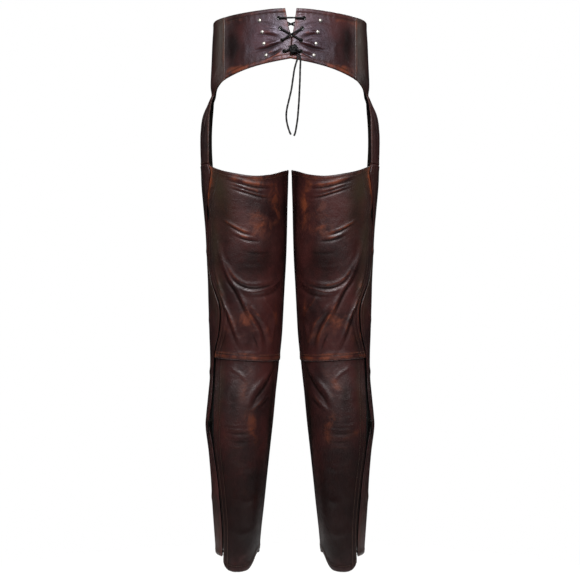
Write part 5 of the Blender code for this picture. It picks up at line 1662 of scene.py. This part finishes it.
FRAME_HALF_HEIGHT = 0.0235
FAR_OUT = 0.0067
stand = surface_frame(front_surface, 0.0, mid_z)
across = Vector(front_surface(np.array(-BAR_X), np.array(mid_z), FAR_OUT))
across -= Vector(front_surface(np.array(BAR_X), np.array(mid_z), BAR_OUT))
bpy.ops.object.select_all(action="DESELECT")
bpy.ops.mesh.primitive_plane_add(size=1.0, location=(0, 0, 0))
ring = bpy.context.object
bpy.ops.object.mode_set(mode="EDIT")
bpy.ops.mesh.select_all(action="SELECT")
bpy.ops.transform.resize(value=(across.length, 2 * FRAME_HALF_HEIGHT, 1.0), center_override=(0, 0, 0))
bpy.ops.mesh.bevel(offset=0.0065, offset_type="OFFSET", segments=6, affect="VERTICES")
bpy.ops.mesh.delete(type="ONLY_FACE")
bpy.ops.object.mode_set(mode="OBJECT")
bpy.ops.object.convert(target="CURVE")
ring = bpy.context.object
ring.data.bevel_depth = BAR_RADIUS
ring.data.bevel_resolution = 4
bpy.ops.object.convert(target="MESH")
ring = bpy.context.object
ring.name = ring.data.name = "buckle_ring"
lean = stand.to_3x3().inverted() @ across
tilt = Matrix.Rotation(-math.atan2(lean.z, lean.x), 4, "Y")
here = Vector(front_surface(np.array(-BAR_X), np.array(mid_z), FAR_OUT)) - across / 2
placed = Matrix.Translation(here) @ stand.to_3x3().to_4x4() @ tilt
ring.data.transform(placed)
bpy.ops.object.shade_smooth_by_angle(angle=math.radians(60))
ring.data.materials.clear()
ring.data.materials.append(aged_brass)
fitted(ring, ["buckle_frame"])

Bar = namedtuple("Bar", "x out radius")
PRONG = [
    Bar(-0.0163, 0.0046, 0.0011),
    Bar(-0.0130, 0.0048, 0.0014),
    Bar(-0.0095, 0.0058, 0.0015),
    Bar(-0.0050, 0.0084, 0.0015),
    Bar(0.0005, 0.0104, 0.0015),
    Bar(0.0080, 0.0112, 0.0015),
    Bar(0.0150, 0.0108, 0.0014),
    Bar(0.0200, 0.0102, 0.0012),
    Bar(0.0230, 0.0096, 0.0009),
    Bar(0.0238, 0.0093, 0.0004),
]
first = PRONG[0]
bpy.ops.object.select_all(action="DESELECT")
bpy.ops.mesh.primitive_circle_add(
    vertices=16,
    radius=first.radius,
    fill_type="NGON",
    location=(first.x, 0, first.out),
    rotation=(0, math.radians(90), 0),
)
prong = bpy.context.object
bpy.ops.object.transform_apply(location=True, rotation=True, scale=False)
bpy.ops.object.mode_set(mode="EDIT")
bpy.ops.mesh.select_all(action="SELECT")
for before, after in zip(PRONG, PRONG[1:]):
    step = (after.x - before.x, 0, after.out - before.out)
    bpy.ops.mesh.extrude_region_move(TRANSFORM_OT_translate={"value": step})
    share = after.radius / before.radius
    bpy.ops.transform.resize(value=(1.0, share, share), center_override=(after.x, 0, after.out))
bpy.ops.mesh.select_all(action="SELECT")
bpy.ops.mesh.normals_make_consistent(inside=False)
bpy.ops.object.mode_set(mode="OBJECT")
bpy.ops.object.select_all(action="DESELECT")
bpy.ops.mesh.primitive_torus_add(
    major_radius=0.0032,
    minor_radius=0.0009,
    major_segments=32,
    minor_segments=12,
    location=(BAR_X, 0, BAR_OUT),
    rotation=(math.radians(90), 0, 0),
)
loop = bpy.context.object
bpy.ops.object.transform_apply(location=True, rotation=True, scale=False)
prong = joined([prong, loop])
prong.name = prong.data.name = "prong"
for vertex in prong.data.vertices:
    x, aside, out = vertex.co
    vertex.co = Vector(front_surface(np.array(x), np.array(mid_z + aside), out))
# Width and depth change places on the way to the waist, which turns the faces inside out
prong.data.flip_normals()
bpy.ops.object.shade_smooth_by_angle(angle=math.radians(50))
prong.data.materials.append(aged_brass)
fitted(prong, ["buckle_prong"])

KEEPER_X = -0.0520
KEEPER_WALL = 0.0016
high = (BELT_TOP - BELT_BOTTOM) / 2 + 0.0008
keeper = block("keeper", (-0.0050, -high, -0.0004), (0.0050, high, BELT_OVER + BELT + 0.0007), 0)
select_faces(keeper, lambda at, normal: abs(normal.x) > 0.9)
bpy.ops.mesh.delete(type="FACE")
bpy.ops.mesh.select_mode(type="EDGE")
bpy.ops.mesh.select_all(action="DESELECT")
bpy.ops.object.mode_set(mode="OBJECT")
for edge in keeper.data.edges:
    a, b = (keeper.data.vertices[k].co for k in edge.vertices)
    edge.select = abs(a.x - b.x) > 0.001
bpy.ops.object.mode_set(mode="EDIT")
bpy.ops.mesh.bevel(offset=0.0012, offset_type="OFFSET", segments=4, affect="EDGES")
bpy.ops.object.mode_set(mode="OBJECT")
wall = keeper.modifiers.new("wall", "SOLIDIFY")
wall.thickness = KEEPER_WALL
wall.offset = 1.0
softened = keeper.modifiers.new("softened", "BEVEL")
softened.width = 0.0004
softened.segments = 2
softened.limit_method = "ANGLE"
apply_modifiers(keeper)
keeper.data.transform(surface_frame(front_surface, KEEPER_X, mid_z))
bpy.ops.object.shade_smooth_by_angle(angle=math.radians(40))
keeper.data.uv_layers[0].name = "cut"
keeper.data.materials.clear()
keeper.data.materials.append(bridle)
fitted(keeper, ["belt_keeper"])

# Studio
# A plain pale floor below the hems, broad soft light from the camera's side and softer light from the front,
# and a white surround that the camera sees but that lights the leather only dimly.
FLOOR_Z = -1.120
bpy.ops.object.select_all(action="DESELECT")
bpy.ops.mesh.primitive_circle_add(vertices=96, radius=6.0, fill_type="NGON", location=(0, 0, FLOOR_Z))
floor = bpy.context.object
floor.name = "floor"
floor_finish, tree, shader = new_finish("pale_studio_floor", "#f4f4f2", 0.9)
shader.inputs["Emission Color"].default_value = linear("#ffffff")
shader.inputs["Emission Strength"].default_value = 0.14
place = node(tree, "TexCoord")
away = node(tree, "VectorMath", {0: place.outputs["Object"]}, operation="LENGTH")
fade = node(
    tree,
    "MapRange",
    {"Value": away.outputs["Value"], "From Min": 0.25, "From Max": 0.85, "To Min": 0.0, "To Max": 1.0},
)
clear = node(tree, "BsdfTransparent")
mix = node(
    tree, "MixShader", {0: fade.outputs["Result"], 1: shader.outputs["BSDF"], 2: clear.outputs["BSDF"]}
)
tree.links.new(mix.outputs["Shader"], tree.nodes["Material Output"].inputs["Surface"])
floor.data.materials.append(floor_finish)


def soft_light(name, place, aim, width, height, power):
    light = bpy.data.lights.new(name, "AREA")
    light.shape = "RECTANGLE"
    light.size = width
    light.size_y = height
    light.energy = power
    made = bpy.data.objects.new(name, light)
    made.location = place
    made.rotation_euler = (Vector(aim) - Vector(place)).to_track_quat("-Z", "Y").to_euler()
    bpy.context.scene.collection.objects.link(made)


soft_light("key", (0.0, -2.6, 1.25), (0, 0, -0.30), 0.9, 0.8, 74)
soft_light("left_strip", (-1.6, -2.4, 0.60), (0, 0, -0.25), 0.35, 0.9, 12)
soft_light("right_strip", (1.6, -2.4, 0.60), (0, 0, -0.25), 0.35, 0.9, 12)
soft_light("top", (0.0, -0.9, 1.9), (0, 0, -0.3), 1.2, 0.6, 10)
soft_light("front", (0.2, 2.2, 2.0), (0, 0, -0.5), 1.2, 1.0, 130)
soft_light("side", (2.8, 0.5, 0.7), (0, 0, -0.5), 0.8, 1.4, 7)
soft_light("far_side", (-2.8, 0.5, 0.7), (0, 0, -0.5), 0.8, 1.4, 7)

world = bpy.data.worlds.new("studio")
bpy.context.scene.world = world
world.use_nodes = True
tree = world.node_tree
seen = node(tree, "Background", {"Color": linear("#ffffff"), "Strength": 1.0})
lit = node(tree, "Background", {"Color": linear("#e8eaee"), "Strength": 0.02})
ray = node(tree, "LightPath")
both = node(
    tree, "MixShader", {0: ray.outputs["Is Camera Ray"], 1: lit.outputs[0], 2: seen.outputs[0]}
)
tree.links.new(both.outputs[0], tree.nodes["World Output"].inputs["Surface"])
bpy.context.scene.view_settings.view_transform = "Standard"
